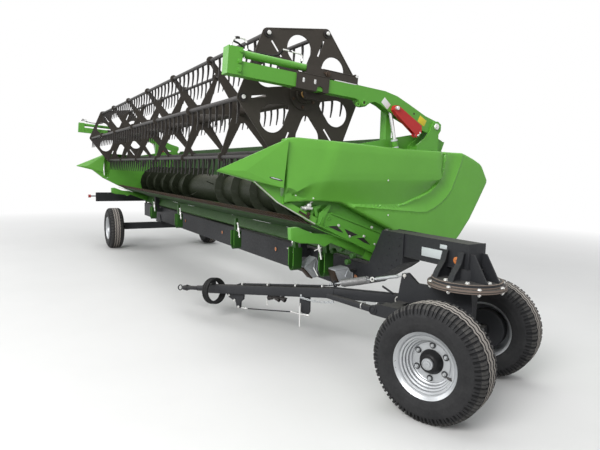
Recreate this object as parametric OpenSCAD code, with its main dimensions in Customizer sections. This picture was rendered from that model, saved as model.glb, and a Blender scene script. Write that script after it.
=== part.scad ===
// Combine header on its four-wheel transport trailer.
// Lengths in millimetres, +Z up, -Y is the cutting side, +X is the end with the turntable.
// The parts are placed from the turntable axis on the floor, then shifted to the middle of the box.

/* [Header] */
// Cutting width between the two end sheets
cut_w = 7620; // [5000:10:9000]
// How far the header leans back on the trailer, in degrees
lean = 22; // [0:1:30]
// Distance from the turntable axis to the near end sheet
head_gap = 1010; // [950:5:1300]
// Knife line, distance in front of the main beam's middle
knife_y = -600; // [-800:5:-400]
// Knife line, height above the floor
knife_z = 1150; // [1050:5:1300]
// Pitch of the knife guards
guard_pitch = 76.2; // [50:0.1:102]
// Length of a knife guard
guard_len = 118; // [80:1:150]
// Radius of the auger over its flights
auger_r = 305; // [250:1:330]
// Radius of the auger's tube
auger_tube_r = 200; // [120:1:220]
// Pitch of the auger's flights
flight_pitch = 560; // [350:5:700]
// Height of the back wall above the floor of the header
wall_h = 1150; // [900:5:1300]
// Width of the opening for the feeder house
feeder_w = 1400; // [1000:10:1800]
// Height of the opening for the feeder house
feeder_h = 640; // [450:5:750]

/* [Reel] */
// Gap between an end star of the reel and the end sheet
reel_gap = 140; // [100:5:300]
// Radius at the bat tubes
reel_r = 532; // [400:1:600]
// Angle of the first bat, in degrees
reel_turn = 7.5; // [0:0.5:59]
// Reel axis, distance in front of the main beam's middle
reel_y = -693; // [-900:1:-600]
// Reel axis, height above the floor
reel_z = 2168; // [2000:1:2400]
// Number of stars along the reel
star_n = 7; // [3:1:9]
// Radius of a bat's tube
bat_r = 18; // [12:0.5:30]
// Pitch of the tines along a bat
tine_pitch = 153; // [100:1:250]
// Length of a tine
tine_len = 190; // [120:1:230]

/* [Trailer] */
// Distance from the turntable axis to the rear axle
wheelbase = 7800; // [5000:10:9000]
// Distance from the rear axle to the tail end of the main beam
tail_len = 1230; // [900:10:1500]
// Half the track at the rear wheels
track_r = 950; // [800:5:1150]
// Half the track at the front wheels
track_f = 509; // [450:1:600]
// How far the turntable is turned back, in degrees
bogie_turn = 20.6; // [0:0.1:30]
// Radius of a tyre
tyre_r = 380; // [330:1:420]
// Width of a tyre
tyre_w = 264; // [200:1:300]
// Radius of a wheel rim at the bead
rim_r = 205; // [180:1:230]
// Width of the main beam
beam_w = 160; // [120:1:200]
// Height of the main beam
beam_h = 270; // [200:1:300]
// Height of the main beam's underside above the floor
beam_z = 500; // [460:1:540]
// Radius of the turntable ring
ring_r = 268; // [220:1:320]
// Length of the drawbar from its hinge to the eye, along the floor
drawbar_len = 2490; // [1800:10:2800]
// Radius of the hole in the tow eye
eye_hole_r = 20; // [15:0.5:30]

/* [Hidden] */
$fn = 48;
fit_gap = 0.06;
slide_gap = 0.6;
half_w = cut_w / 2;
reel_len = cut_w - 2 * reel_gap;
head_x = -head_gap - half_w;
sheet_t = 8;
trough_gap = 22;
auger_y = 500;
trough_r = auger_r + trough_gap;
auger_z = trough_r;
wall_y = auger_y + trough_r;
tube_d = 120;
low_y = 540;
low_z = -sheet_t - tube_d;
arm_x = half_w + 62;
arm_w = 80;
arm_h = 100;
arm_slope = 3.9;
arm_dz = 46;
arm_front = -735;
arm_back = 390;
pivot_y = 515;
pivot_z = 1970;
pivot_r = 20;
eye_y = 35;
eye_z = 2090;
foot_y = 196;
foot_z = 1410;
cyl_pin_r = 14;
rod_eye_gap = 4;
stub_r = 30;
axle_r = 35;
kingpin_r = 32;
star_t = 8;
star_gap = reel_len / (star_n - 1);
hub_tube_r = 70;
neck_z = 910;
neck_h = 180;
neck_end = 72;
ring_z = 812;
ring_t = 28;
ring_up_r = ring_r - 26;
ring_top = ring_z + ring_t + 1;
hinge_x = -600;
hinge_z = 545;
hinge_y = 200;
hinge_r = 15;
bend_x = -520;
bend_drop = 8.1;
tube_len = (drawbar_len + bend_x - 310) / cos(bend_drop);
eye_dz = (drawbar_len + bend_x) * tan(bend_drop) + 2;
cover_t = 130;
cover_wall = 5;
cover_face = 17;
tail_x = min(-wheelbase - tail_len, head_x - half_w - sheet_t - cover_t - cover_face - 230);
spring_x = -470;
spring_z = 790;
spring_drop = 14.6;
pin_r = 8;
bar_y = 1090;
bar_z = 815;
bar_h = 185;
tip_y = -974;

// half length of the part along X and its middle, from the tail to the front tyre
x_front = track_f * sin(bogie_turn) + tyre_r * cos(bogie_turn) + tyre_w / 2 * sin(bogie_turn);
mid_x = (x_front + tail_x) / 2;
y_front = knife_y + tip_y * cos(lean) + 30 * sin(lean);
y_back = 1225;
mid_y = (y_front + y_back) / 2;

// hangers under the header, from the near end
skid_at = [for (k = [0.029, 0.085, 0.269, 0.563, 0.765]) head_x + half_w - k * cut_w];
rib_n = 9;
rib_at = [for (i = [0 : rib_n - 1]) -half_w + 60 + i * (cut_w - 120) / (rib_n - 1)];
cradle_at = [rib_at[1], rib_at[7]];

GREEN = [0.20, 0.50, 0.16];
DARK = [0.20, 0.19, 0.18];
STEEL = [0.62, 0.62, 0.60];
GREY = [0.30, 0.31, 0.33];
BLACK = [0.06, 0.06, 0.06];
RED = [0.65, 0.10, 0.08];
SILVER = [0.78, 0.78, 0.76];

function inset(p, d) = [for (i = [0 : len(p) - 1])
  let (a = p[(i + len(p) - 1) % len(p)], b = p[i], c = p[(i + 1) % len(p)],
    u = (b - a) / norm(b - a), v = (c - b) / norm(c - b),
    n = [-u[1], u[0]], m = [-v[1], v[0]]) b + d * (n + m) / (1 + n * m)];

module placed() translate([-mid_x, -mid_y, 0]) children();
module head() translate([head_x, knife_y, knife_z]) rotate([-lean, 0, 0]) children();
module reel_axis() translate([head_x, reel_y, reel_z]) children();
module bogie() rotate([0, 0, bogie_turn]) children();
module run_x(len) translate([-len / 2, 0, 0]) rotate([90, 0, 90]) linear_extrude(len) children();
module box_at(low, high) translate(low) cube(high - low);
module both_ends() {
  children();
  mirror([1, 0, 0]) children();
}
module rod_x(len, r) rotate([0, 90, 0]) cylinder(h = len, r = r, center = true);
module rod_y(len, r) rotate([90, 0, 0]) cylinder(h = len, r = r, center = true);

// Trailer, fixed pieces

// the neck's lower line, as shares of the rise from the low beam to the high one
function neck_up(k) = beam_z + k * (neck_z - beam_z);
neck_line = [for (p = [[-993, 0.27], [-900, 0.40], [-773, 0.58], [-653, 0.74], [-570, 0.87]]) [p[0], neck_up(p[1])]];
neck_from = -1350;
beam_top = beam_z + beam_h;
module along_y(w) translate([0, w / 2, 0]) rotate([90, 0, 0]) linear_extrude(w) children();
module main_beam() color(GREY) placed() difference() {
  along_y(beam_w) polygon([[tail_x, beam_z], [neck_from, beam_z], [-1000, neck_up(0.265)], [-1000, beam_top], [tail_x, beam_top]]);
  along_y(beam_w - 20) polygon([[tail_x - 1, beam_z + 10], [neck_from - 10, beam_z + 10], [-1020, neck_up(0.265) + 6],
    [-1020, beam_top - 10], [tail_x - 1, beam_top - 10]]);
}

// side plate of the gooseneck: from the low beam up to the high one
neck_back = [[-570, neck_z + neck_h], [-830, neck_z + neck_h], [-880, neck_z + neck_h / 2]];
module neck_plate() polygon(concat([[neck_from, beam_z]], neck_line, neck_back, [[-1004, beam_top], [neck_from, beam_top]]));
web_pts = concat([[-1000, neck_up(0.265)]], [for (p = neck_line) p + [0, 2]], [[-575, neck_z + neck_h - 4], [-827, neck_z + neck_h - 4], [-876, neck_z + neck_h / 2]], [[-1000, beam_top]]);

// fin beside the beam: a web down to the ring, and a wider edge along its hollow outer side
fin_edge = [[196, ring_top], [176, ring_top + 44], [124, neck_z + 45], [102, neck_z + 120]];
module fin() {
  translate([-6, 0, 0]) rotate([90, 0, 90]) linear_extrude(12)
    polygon(concat([[0, neck_z + 120], [0, ring_top - 4], [196, ring_top - 4]], fin_edge));
  translate([-24, 0, 0]) rotate([90, 0, 90]) linear_extrude(48)
    polygon(concat([fin_edge[0] - [0, 4]], fin_edge, [for (i = [3 : -1 : 1]) fin_edge[i] - [10, 0]], [fin_edge[0] - [10, 4]]));
}

module gooseneck() color(GREY) placed() {
  for (s = [-1, 1]) translate([0, s * (beam_w / 2 + 6), 0]) along_y(12) neck_plate();
  along_y(beam_w + 6) polygon(web_pts);
  box_at([-600, -beam_w / 2, neck_z], [neck_end, beam_w / 2, neck_z + neck_h]);
  translate([0, 0, ring_z + 1]) cylinder(h = ring_t, r = ring_up_r, $fn = 96);
  translate([0, 0, ring_top - 1]) cylinder(h = neck_z - ring_top + 6, r = 110);
  for (x = [-118, 28]) translate([x, 0, 0]) {
    fin();
    mirror([0, 1, 0]) fin();
  }
  for (s = [-1, 1]) translate([0, s * 60, 0]) along_y(12)
    polygon([[neck_end - 1, ring_top - 1], [226, ring_top - 1], [222, ring_top + 12], [108, neck_z + 112], [neck_end - 1, neck_z + 112]]);
  translate([0, 0, 640]) cylinder(h = neck_z - 630, r = kingpin_r);
}

module rear_axle() color(GREY) placed() translate([-wheelbase, 0, 0]) {
  box_at([-55, -track_r + 190, tyre_r - 30], [55, track_r - 190, tyre_r + 90]);
  box_at([-180, -beam_w / 2 - 20, tyre_r + 90], [180, beam_w / 2 + 20, beam_z]);
  for (s = [-1, 1]) {
    translate([0, s * (beam_w / 2 + 7), 0]) along_y(14) polygon([[-150, beam_z - 2], [150, beam_z - 2], [90, beam_z + 120], [-90, beam_z + 120]]);
    translate([0, s * (track_r - 95), tyre_r]) rod_y(240, axle_r);
  }
}

module light_bar() color(GREY) placed() {
  box_at([tail_x, -bar_y, bar_z], [tail_x + 60, bar_y, bar_z + bar_h]);
  for (s = [-1, 1]) {
    box_at([tail_x, min(s * 30, s * 60), beam_top], [tail_x + 60, max(s * 30, s * 60), bar_z]);
    translate([tail_x + 30, s * (bar_y + 50), bar_z + 110]) rod_y(100, 12);
  }
}

module lamps() color(RED) placed() {
  for (s = [-1, 1]) {
    box_at([tail_x - 50, s * 900 - 120, bar_z + 30], [tail_x, s * 900 + 120, bar_z + 140]);
    translate([tail_x + 30, s * (bar_y + 125), bar_z + 110]) rod_y(50, 32);
  }
}

module under_head() {
  translate([-100, -sheet_t]) square([700, 300]);
  rib_shape();
  translate([low_y, low_z]) square([tube_d, tube_d]);
}

module cradles() color(GREY) placed() difference() {
  for (x = cradle_at) translate([head_x + x, 0, 0]) for (s = [-1, 1]) {
    box_at([-50, min(s * beam_w / 2, s * 210), beam_top - 80], [50, max(s * beam_w / 2, s * 210), beam_top - 10]);
    box_at([-50, min(s * 130, s * 210), beam_top - 20], [50, max(s * 130, s * 210), knife_z + 100]);
  }
  head() run_x(cut_w + 10) under_head();
  head() run_x(cut_w + 10) translate([-200, 0]) square([1200, 2000]);
}

// chocks carried on the main beam: place of the middle of the sole, and the side they hang from
chock_at = [[-1690, -225, 600, beam_w / 2], [-1220, -225, 585, beam_w / 2 + 12]];
module chocks() color(SILVER) placed() for (p = chock_at) translate([p[0], p[1], p[2]]) {
  rotate([90, 0, 0]) linear_extrude(110)
    polygon([[-150, 0], [150, 0], [150, 60], [60, 190], [-30, 190], [-150, 40]]);
  box_at([-40, -1, 40], [40, -p[3] - p[1], 90]);
}

// Front bogie

side_arm = [[hinge_x + 60, hinge_z - 40], [-420, hinge_z - 45], [-45, tyre_r - 45], [-45, tyre_r + 50], [-400, hinge_z + 50],
  [hinge_x + 60, hinge_z + 50]];
web_z = ring_z - ring_t - 42;
module bogie_frame() color(GREY) placed() bogie() difference() {
  union() {
    translate([0, 0, ring_z - ring_t]) cylinder(h = ring_t, r = ring_r, $fn = 96);
    translate([0, 0, ring_z - ring_t - 14]) cylinder(h = 15, r = 215);
    rotate([0, 0, 90]) along_y(130) polygon([[-80, ring_z - ring_t - 13], [-46, 650], [-46, tyre_r], [46, tyre_r], [46, 650],
      [80, ring_z - ring_t - 13]]);
    box_at([-50, -330, tyre_r - 50], [50, 330, tyre_r + 50]);
    for (s = [-1, 1]) {
      translate([0, s * hinge_y, 0]) along_y(80) polygon(side_arm);
      for (t = [-1, 1]) translate([0, s * hinge_y + t * 45, 0]) along_y(12) {
        polygon(concat(side_arm, [[hinge_x, hinge_z + 36], [hinge_x, hinge_z - 36]]));
        translate([hinge_x, hinge_z]) circle(r = 36);
      }
      translate([hinge_x, s * hinge_y, hinge_z]) rod_y(112, hinge_r);
      translate([0, s * (track_f - 95), tyre_r]) rod_y(240, axle_r);
      translate([0, s * 15, 0]) along_y(10)
        polygon([[spring_x - 60, hinge_z + 20], [spring_x - 22, spring_z + 14], [spring_x + 24, spring_z + 20], [-366, web_z],
          [-100, web_z], [-60, 640], [-60, 520], [-380, hinge_z + 20]]);
    }
    box_at([spring_x - 40, -hinge_y, hinge_z - 30], [spring_x + 40, hinge_y, hinge_z + 45]);
    translate([spring_x, 0, spring_z]) rod_y(40, pin_r);
  }
  translate([0, 0, 630]) cylinder(h = 300, r = kingpin_r + fit_gap);
}

module spring_axis() translate([spring_x, 0, spring_z]) rotate([0, -90 - spring_drop, 0]) children();
module drawbar_spring() color(SILVER) placed() bogie() difference() {
  spring_axis() {
    rotate([90, 0, 0]) cylinder(h = 16, r = 20, center = true);
    cylinder(h = 70, r = 9);
    translate([0, 0, 68]) cylinder(h = 194, r = 14);
    translate([0, 0, 260]) cylinder(h = 90, r = 9);
    translate([0, 0, 300]) rotate([90, 0, 0]) cylinder(h = 14, r = 19, center = true);
    translate([0, 0, 345]) cylinder(h = 258, r = 24);
    translate([0, 0, 600]) cylinder(h = 134, r = 9);
    translate([0, 0, 708]) cylinder(h = 14, r = 17);
  }
  spring_axis() rotate([90, 0, 0]) cylinder(h = 60, r = pin_r + fit_gap, center = true);
}

module on_hinge() placed() bogie() translate([hinge_x, 0, hinge_z]) children();
module on_tube() translate([bend_x, 0, -2]) rotate([0, -bend_drop, 0]) children();
module drawbar() color(GREY) on_hinge() difference() {
  union() {
    for (s = [-1, 1]) {
      translate([0, s * hinge_y, 0]) rod_y(74, 30);
      hull() {
        translate([-20, s * hinge_y, 0]) rod_y(40, 30);
        translate([bend_x - 20, s * 20, -2]) rod_y(40, 36);
      }
    }
    on_tube() {
      box_at([-tube_len, -40, -42], [30, 40, 43]);
      translate([-tube_len - 130, 0, 0]) rotate([0, 90, 0]) cylinder(h = 150, r = 28);
      box_at([-tube_len - 265, -34, -16], [-tube_len - 110, 34, 16]);
      box_at([-1562, -20, 40], [-1522, 20, 83]);
    }
    box_at([bend_x - 8, -24, 30], [bend_x + 4, 24, 110]);
    translate([-drawbar_len, 0, -eye_dz - 18]) cylinder(h = 36, r = 52);
  }
  for (s = [-1, 1]) translate([0, s * hinge_y, 0]) rod_y(90, hinge_r + fit_gap);
  translate([-drawbar_len, 0, -eye_dz - 40]) cylinder(h = 80, r = eye_hole_r);
  translate([-hinge_x, 0, -hinge_z]) spring_axis() translate([0, 0, 600]) cylinder(h = 160, r = 16);
}

module cable_coil() color(BLACK) on_hinge() on_tube() for (i = [-1 : 1])
  translate([-1542 + 27 * i, 0, -23]) rotate([0, 90, 0]) rotate_extrude() translate([122, 0]) circle(r = 14, $fn = 24);

// Wheels

module tyre_shape() {
  w = tyre_w / 2;
  difference() {
    translate([0, 0]) polygon([[rim_r, -w + 28], [rim_r + 40, -w + 4], [rim_r + 100, -w], [tyre_r - 45, -w + 8],
      [tyre_r - 10, -w + 30], [tyre_r, -w + 60], [tyre_r, w - 60], [tyre_r - 10, w - 30], [tyre_r - 45, w - 8],
      [rim_r + 100, w], [rim_r + 40, w - 4], [rim_r, w - 28]]);
    translate([rim_r - 1, -w + 50]) square([110, tyre_w - 100]);
  }
}
dish = [[rim_r - 12, 108], [rim_r - 20, 90], [rim_r - 36, 88], [rim_r - 42, 72], [rim_r - 58, 70], [rim_r - 64, 58], [62, 56]];
module rim_shape() {
  w = tyre_w / 2;
  polygon([[rim_r - 10, -w + 14], [rim_r + 10, -w + 14], [rim_r + 10, -w + 21], [rim_r - 0.2, -w + 27.5],
    [rim_r - 0.2, w - 27.5], [rim_r + 10, w - 21], [rim_r + 10, w - 14], [rim_r - 12, w - 14], [rim_r - 12, w - 40], [rim_r - 7, w - 46],
    [rim_r - 7, -w + 24], [rim_r - 10, -w + 20]]);
  polygon(concat(dish, [for (i = [len(dish) - 1 : -1 : 0]) dish[i] - [0, 9]]));
  polygon([[axle_r + fit_gap, -60], [75, -60], [75, 20], [64, 30], [64, 92], [axle_r + fit_gap, 92]]);
}
module wheel_at(x, y, side) translate([x, y, tyre_r]) rotate([side * 90, 0, 0]) children();
module rim() rotate_extrude($fn = 64) rim_shape();
module tyre() rotate_extrude($fn = 96) tyre_shape();

module rim_fn() color(SILVER) placed() bogie() wheel_at(0, -track_f, 1) rim();
module rim_ff() color(SILVER) placed() bogie() wheel_at(0, track_f, -1) rim();
module rim_rn() color(SILVER) placed() wheel_at(-wheelbase, -track_r, 1) rim();
module rim_rf() color(SILVER) placed() wheel_at(-wheelbase, track_r, -1) rim();
module tyre_fn() color(BLACK) placed() bogie() wheel_at(0, -track_f, 1) tyre();
module tyre_ff() color(BLACK) placed() bogie() wheel_at(0, track_f, -1) tyre();
module tyre_rn() color(BLACK) placed() wheel_at(-wheelbase, -track_r, 1) tyre();
module tyre_rf() color(BLACK) placed() wheel_at(-wheelbase, track_r, -1) tyre();

// Header, fixed pieces

module trough_shape() {
  intersection() {
    translate([auger_y, auger_z]) difference() {
      circle(r = trough_r + sheet_t, $fn = 96);
      circle(r = trough_r, $fn = 96);
    }
    translate([auger_y, -sheet_t - 10]) square([trough_r + sheet_t + 10, auger_z + sheet_t + 10]);
  }
  translate([120, -sheet_t]) square([auger_y - 120, sheet_t]);
}

floor_rib_n = 30;
module trough() color(GREEN) placed() head() {
  difference() {
    run_x(cut_w) {
      trough_shape();
      translate([wall_y, auger_z - 1]) square([sheet_t, wall_h - auger_z + 1]);
    }
    box_at([-feeder_w / 2, auger_y + 60, 0], [feeder_w / 2, wall_y + 40, feeder_h]);
  }
  box_at([-feeder_w / 2, auger_y, -sheet_t], [feeder_w / 2, wall_y + 90, 0]);
  for (i = [0 : floor_rib_n - 1]) translate([(i - (floor_rib_n - 1) / 2) * cut_w / floor_rib_n, 0, 0])
    box_at([-7, 122, -1], [7, 330, 5]);
}

module knife_table() color(GREEN) placed() head() {
  run_x(cut_w) polygon([[0, -30], [40, -44], [100, -44], [120, -sheet_t], [120, 0], [60, 8], [0, 4]]);
}

module cutterbar() color(DARK) placed() head() intersection() {
  n = floor(cut_w / guard_pitch);
  translate([0, 0, -60]) linear_extrude(100) union() {
    translate([-half_w, -20]) square([cut_w, 20]);
    for (i = [0 : n - 1]) translate([(i - (n - 1) / 2) * guard_pitch, 0])
      polygon([[-14, -10], [-12, -60], [-3, -guard_len], [3, -guard_len], [12, -60], [14, -10]]);
  }
  run_x(cut_w + 10) polygon([[0, -30], [0, 10], [-60, 4], [-guard_len, -14], [-guard_len, -20], [-50, -30]]);
}

module rib_shape() difference() {
  polygon([[low_y + tube_d - 5, low_z], [wall_y + 140, 240], [wall_y + 140, wall_h - tube_d], [wall_y + sheet_t, wall_h - tube_d],
    [wall_y + sheet_t, auger_z], [auger_y + 100, -sheet_t], [low_y + tube_d - 5, -sheet_t]]);
  translate([auger_y, auger_z]) circle(r = trough_r + sheet_t, $fn = 96);
}

module back_frame() color(GREEN) placed() head() {
  difference() {
    union() {
      run_x(cut_w) translate([low_y, low_z]) square([tube_d, tube_d]);
      run_x(cut_w) translate([wall_y + sheet_t, wall_h - tube_d]) square([tube_d, tube_d]);
      for (x = rib_at) if (abs(x) > feeder_w / 2) translate([x, 0, 0]) run_x(60) rib_shape();
      for (s = [-1, 1]) translate([s * (feeder_w / 2 + 40), 0, 0]) run_x(80) rib_shape();
    }
    box_at([-feeder_w / 2, auger_y + 170, -sheet_t], [feeder_w / 2, wall_y + 300, feeder_h]);
  }
}

sheet_pts = [[-120, -30], [678, -67], [wall_y + 150, -40], [wall_y + 150, wall_h], [600, wall_h - 100], [-380, 430], [-340, 40]];
// rail at the foot of the end sheet with its cut-outs
rail_low = [[-60, -27], [664, -60.6]];
rail_pts = [rail_low[0], rail_low[1], [664, 136], [51, 106], [-60, 60]];
rail_gaps = [[[95, 0], [254, 2], [179, 42]], [[257, 58], [323, -6], [404, 50]], [[420, 4], [564, 8], [500, 58]]];
module end_frames() color(GREEN) placed() head() both_ends() difference() {
  union() {
    translate([half_w + sheet_t / 2, 0, 0]) run_x(sheet_t) polygon(sheet_pts);
    translate([half_w + sheet_t + 14, 0, 0]) run_x(30) difference() {
      polygon(rail_pts);
      for (g = rail_gaps) polygon(g);
    }
    translate([half_w + sheet_t + 20, 0, 0]) run_x(44) {
      polygon([rail_low[0], rail_low[1], rail_low[1] + [0, 8], rail_low[0] + [0, 8]]);
      polygon([[51, 98], [664, 128], [664, 136], [51, 106]]);
    }
    translate([arm_x, 0, 0]) for (s = [-1, 1]) translate([s * (arm_w / 2 + 9), 0, 0]) run_x(16) post_shape();
    translate([arm_x, 0, 0]) run_x(arm_w + 34) post_foot();
    translate([arm_x, 0, 0]) to_flat() translate([0, pivot_y, pivot_z]) rod_x(arm_w + 44, pivot_r);
    translate([arm_x, 0, 0]) to_flat() translate([0, foot_y, foot_z]) rod_x(64, cyl_pin_r);
    to_flat() box_at([half_w, foot_y - 22, foot_z - 20], [arm_x - 24, foot_y + 22, foot_z + 18]);
    to_flat() box_at([half_w - 78, 50, knife_z + 480], [half_w + 1, 108, knife_z + 955]);
  }
  translate([half_w, auger_y, auger_z]) rod_x(200, stub_r + fit_gap);
}
// turns from the leaning header back to the floor's axes
module to_flat() rotate([lean, 0, 0]) translate([0, -knife_y, -knife_z]) children();
function to_head(y, z) = [(y - knife_y) * cos(lean) - (z - knife_z) * sin(lean),
  (y - knife_y) * sin(lean) + (z - knife_z) * cos(lean)];
// post of the reel arm, drawn from its pivot in the floor's axes
post_pts = [[-45, 20], [-70, -45], [-119, -102], [-217, -170], [-217, -240], [37, -240], [33, -65], [58, -32], [58, 22], [20, 46], [-24, 44]];
module post_shape() polygon([for (p = post_pts) to_head(pivot_y + p[0], pivot_z + p[1])]);
module post_foot() polygon([for (p = [[-210, -236], [-210, -178], [30, -178], [30, -236]]) to_head(pivot_y + p[0], pivot_z + p[1])]);

cover_pts = [[-394, 13], [-120, 144], [122, 206], [694, 178], [1395, 338], [1505, 598], [1566, 995],
  [1434, 1109], [1136, 1112], [457, 843], [-479, 518], [-574, 458]];
// moulding of the cover: the middle step ends at the long crease, the face above the lower band
cover_mid = [[-380, 26], [-120, 150], [73, 196], [356, 272], [755, 397], [950, 465], [1079, 606], [1146, 761], [1150, 921],
  [1120, 1100], [457, 838], [-472, 515], [-562, 455]];
cover_top = [[-250, 245], [-171, 300], [959, 770], [945, 880], [912, 986], [840, 985], [457, 822], [-350, 540], [-400, 480]];
cover_x = half_w + sheet_t;
module side_covers() color(GREEN) placed() head() both_ends() difference() {
  union() {
    translate([cover_x + (cover_t - 22) / 2, 0, 0]) run_x(cover_t - 22) polygon(cover_pts);
    translate([cover_x + cover_t / 2, 0, 0]) run_x(cover_t) polygon(cover_mid);
    translate([cover_x + (cover_t + cover_face) / 2, 0, 0]) run_x(cover_t + cover_face) polygon(cover_top);
  }
  translate([cover_x + (cover_t - 22) / 2 - cover_wall, 0, 0]) run_x(cover_t - 22) polygon(inset(cover_pts, cover_wall));
  translate([cover_x + cover_t / 2 - cover_wall, 0, 0]) run_x(cover_t) polygon(inset(cover_mid, 9));
  box_at([cover_x - 1, 310, 690], [cover_x + cover_t - 8, 890, 1300]);
}

// divider: a beak whose underside lies level, and the lip that runs back from it under the cover
lip_pts = [[-790, 112], [-700, 150], [-480, 150], [-436, 62], [-300, 40], [-60.2, 20], [-60.2, -30], [-436, 8]];
module dividers() color(GREEN) placed() head() both_ends() difference() {
  union() {
    divider_body();
    translate([half_w + sheet_t + 21.2, 0, 0]) run_x(42) polygon(lip_pts);
  }
  translate([cover_x + 75, 0, 0]) run_x(150.2) polygon([[-574.2, 458], [-394.2, 12.8], [-120.2, 143.8], [122, 206], [500, 190], [500, 900]]);
}
module divider_body() hull() {
  for (p = [[half_w - 20, -570, 440], [half_w + 130, -575.4, 458], [half_w - 20, -480, 105], [half_w + 130, -476, 111],
    [half_w + 96, -790, 112], [half_w, -800, 100], [half_w + 50, tip_y, 30], [half_w + 60, tip_y, 42]])
    translate(p) cube(1);
}

// runner under each end of the header
runner_pts = [[-222, -132], [-180, -218], [-88, -212], [72, -156], [135, -166], [180, -110], [low_y - 0.2, low_z + 16],
  [low_y - 0.2, -18], [130, -56], [-4, -102], [-161, -101]];
module skid_shoes() color(GREEN) placed() {
  for (x = skid_at) translate([x, -440, 0]) {
    difference() {
      union() {
        translate([0, 0, 675]) rod_x(92, 46);
        box_at([-46, -46, 675], [46, 46, 850]);
      }
      translate([0, 0, 681]) rod_x(80, 40);
      box_at([-40, -40, 681], [40, 40, 851]);
    }
    difference() {
      box_at([-22, -18, 634], [22, 18, 1200]);
      translate([-x, 440, 0]) head() run_x(cut_w + 100) translate([-300, -sheet_t]) square([1500, 2500]);
    }
  }
  head() both_ends() translate([half_w - 60, 0, 0]) run_x(56) polygon(runner_pts);
}

// Auger

function helix(hand, r0, r1, x0, x1, pitch, t, seg) =
  let (n = ceil(abs(x1 - x0) / pitch * seg))
  [for (i = [0 : n]) let (x = x0 + (x1 - x0) * i / n, a = hand * 360 * (x - x0) / pitch)
    for (q = [[r0, -t / 2], [r1, -t / 2], [r1, t / 2], [r0, t / 2]])
      [x + q[1], q[0] * cos(a), q[0] * sin(a)]];
module flight(hand, x0, x1) {
  pts = helix(hand, auger_tube_r - 6, auger_r, x0, x1, flight_pitch, 8, 14);
  n = len(pts) / 4 - 1;
  dir = (x1 > x0 ? 1 : -1);
  tris = [for (i = [0 : n - 1]) for (k = [0 : 3])
    let (a = 4 * i + k, b = 4 * i + (k + 1) % 4, c = b + 4, d = a + 4)
    each (k < 2 ? [[a, b, c], [a, c, d]] : [[b, c, d], [b, d, a]])];
  faces = concat([[3, 2, 1, 0]], tris, [[4 * n, 4 * n + 1, 4 * n + 2, 4 * n + 3]]);
  polyhedron(points = pts, faces = dir > 0 ? faces : [for (f = faces) [for (j = [len(f) - 1 : -1 : 0]) f[j]]], convexity = 20);
}
module auger() color(GREEN) placed() head() translate([0, auger_y, auger_z]) {
  rod_x(cut_w - 30, auger_tube_r);
  rod_x(cut_w + 2 * sheet_t, stub_r);
  both_ends() flight(1, half_w - 40, 560);
  for (i = [0 : 7]) translate([-490 + i * 140, 0, 0]) rotate([i * 135, 0, 0])
    translate([0, 0, auger_tube_r - 4]) cylinder(h = auger_r - auger_tube_r + 4, r = 8);
}

// Reel arms and what moves them

function arm_pt(y, z) = [reel_y + y * cos(arm_slope) + z * sin(arm_slope),
  reel_z + arm_dz - y * sin(arm_slope) + z * cos(arm_slope)];
module on_arm() translate([0, reel_y, reel_z + arm_dz]) rotate([-arm_slope, 0, 0]) children();

// swan neck of the arm, drawn from its pivot
neck_up_pts = [[9, 48], [-117, 86], [-307, 170], [-439, 225], [-566, 254], [-732, 267], [-849, 276]];
neck_low_pts = [[-844, 165], [-806, 118], [-769, 114], [-712, 154], [-667, 160], [-606, 139], [-526, 96], [-455, 70], [-264, -5], [-95, -55]];
module reel_arms() color(GREEN) placed() translate([head_x, 0, 0]) both_ends() translate([arm_x, 0, 0]) difference() {
  union() {
    run_x(arm_w) {
      polygon(concat([arm_pt(arm_front, -arm_h / 2), arm_pt(340, -arm_h / 2)], [for (p = neck_low_pts) [pivot_y + p[0], pivot_z + p[1]]],
        [[pivot_y, pivot_z - 40]], [for (p = neck_up_pts) [pivot_y + p[0], pivot_z + p[1]]], [arm_pt(330, arm_h / 2), arm_pt(arm_front, arm_h / 2)]));
      translate([pivot_y, pivot_z]) circle(r = 48);
    }
    on_arm() box_at([-arm_w / 2 - 10, arm_front - 14, -arm_h / 2], [arm_w / 2 + 10, arm_front + 92, 138]);
    translate([22, eye_y, eye_z]) rod_x(134, cyl_pin_r);
  }
  translate([0, pivot_y, pivot_z]) rod_x(arm_w + 40, pivot_r + fit_gap);
  difference() {
    box_at([-22, eye_y - 72, eye_z - 200], [22, eye_y + 92, eye_z + 46]);
    translate([0, eye_y, eye_z]) rod_x(100, cyl_pin_r);
  }
  translate([0, pivot_y - 787, pivot_z + 138]) rod_x(arm_w + 40, 9);
}

prop_pts = [[-28, -14], [-14, 22], [22, 24], [287, -125], [287, -183], [228, -210], [8, -52]];
module safety_props() color(RED) placed() translate([head_x, 0, 0]) both_ends() translate([arm_x, eye_y, eye_z]) difference() {
  translate([arm_w / 2 + 24, 0, 0]) run_x(40) polygon(prop_pts);
  translate([arm_w / 2 + 24, 0, 0]) run_x(28) polygon([[40, -14], [275, -146], [296, -190], [228, -214], [30, -62]]);
  rod_x(300, cyl_pin_r + fit_gap);
}

rod_z = 108;
cyl_from = arm_front + 93;
cyl_to = -100;
module slide_cylinders() color(GREEN) placed() translate([head_x, 0, 0]) both_ends() translate([arm_x, 0, 0]) on_arm() difference() {
  translate([0, cyl_from, rod_z]) rotate([-90, 0, 0]) cylinder(h = cyl_to - cyl_from, r = 27);
  translate([0, cyl_from + 40, rod_z]) rotate([-90, 0, 0]) cylinder(h = cyl_to - cyl_from, r = 14 + fit_gap);
}

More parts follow.
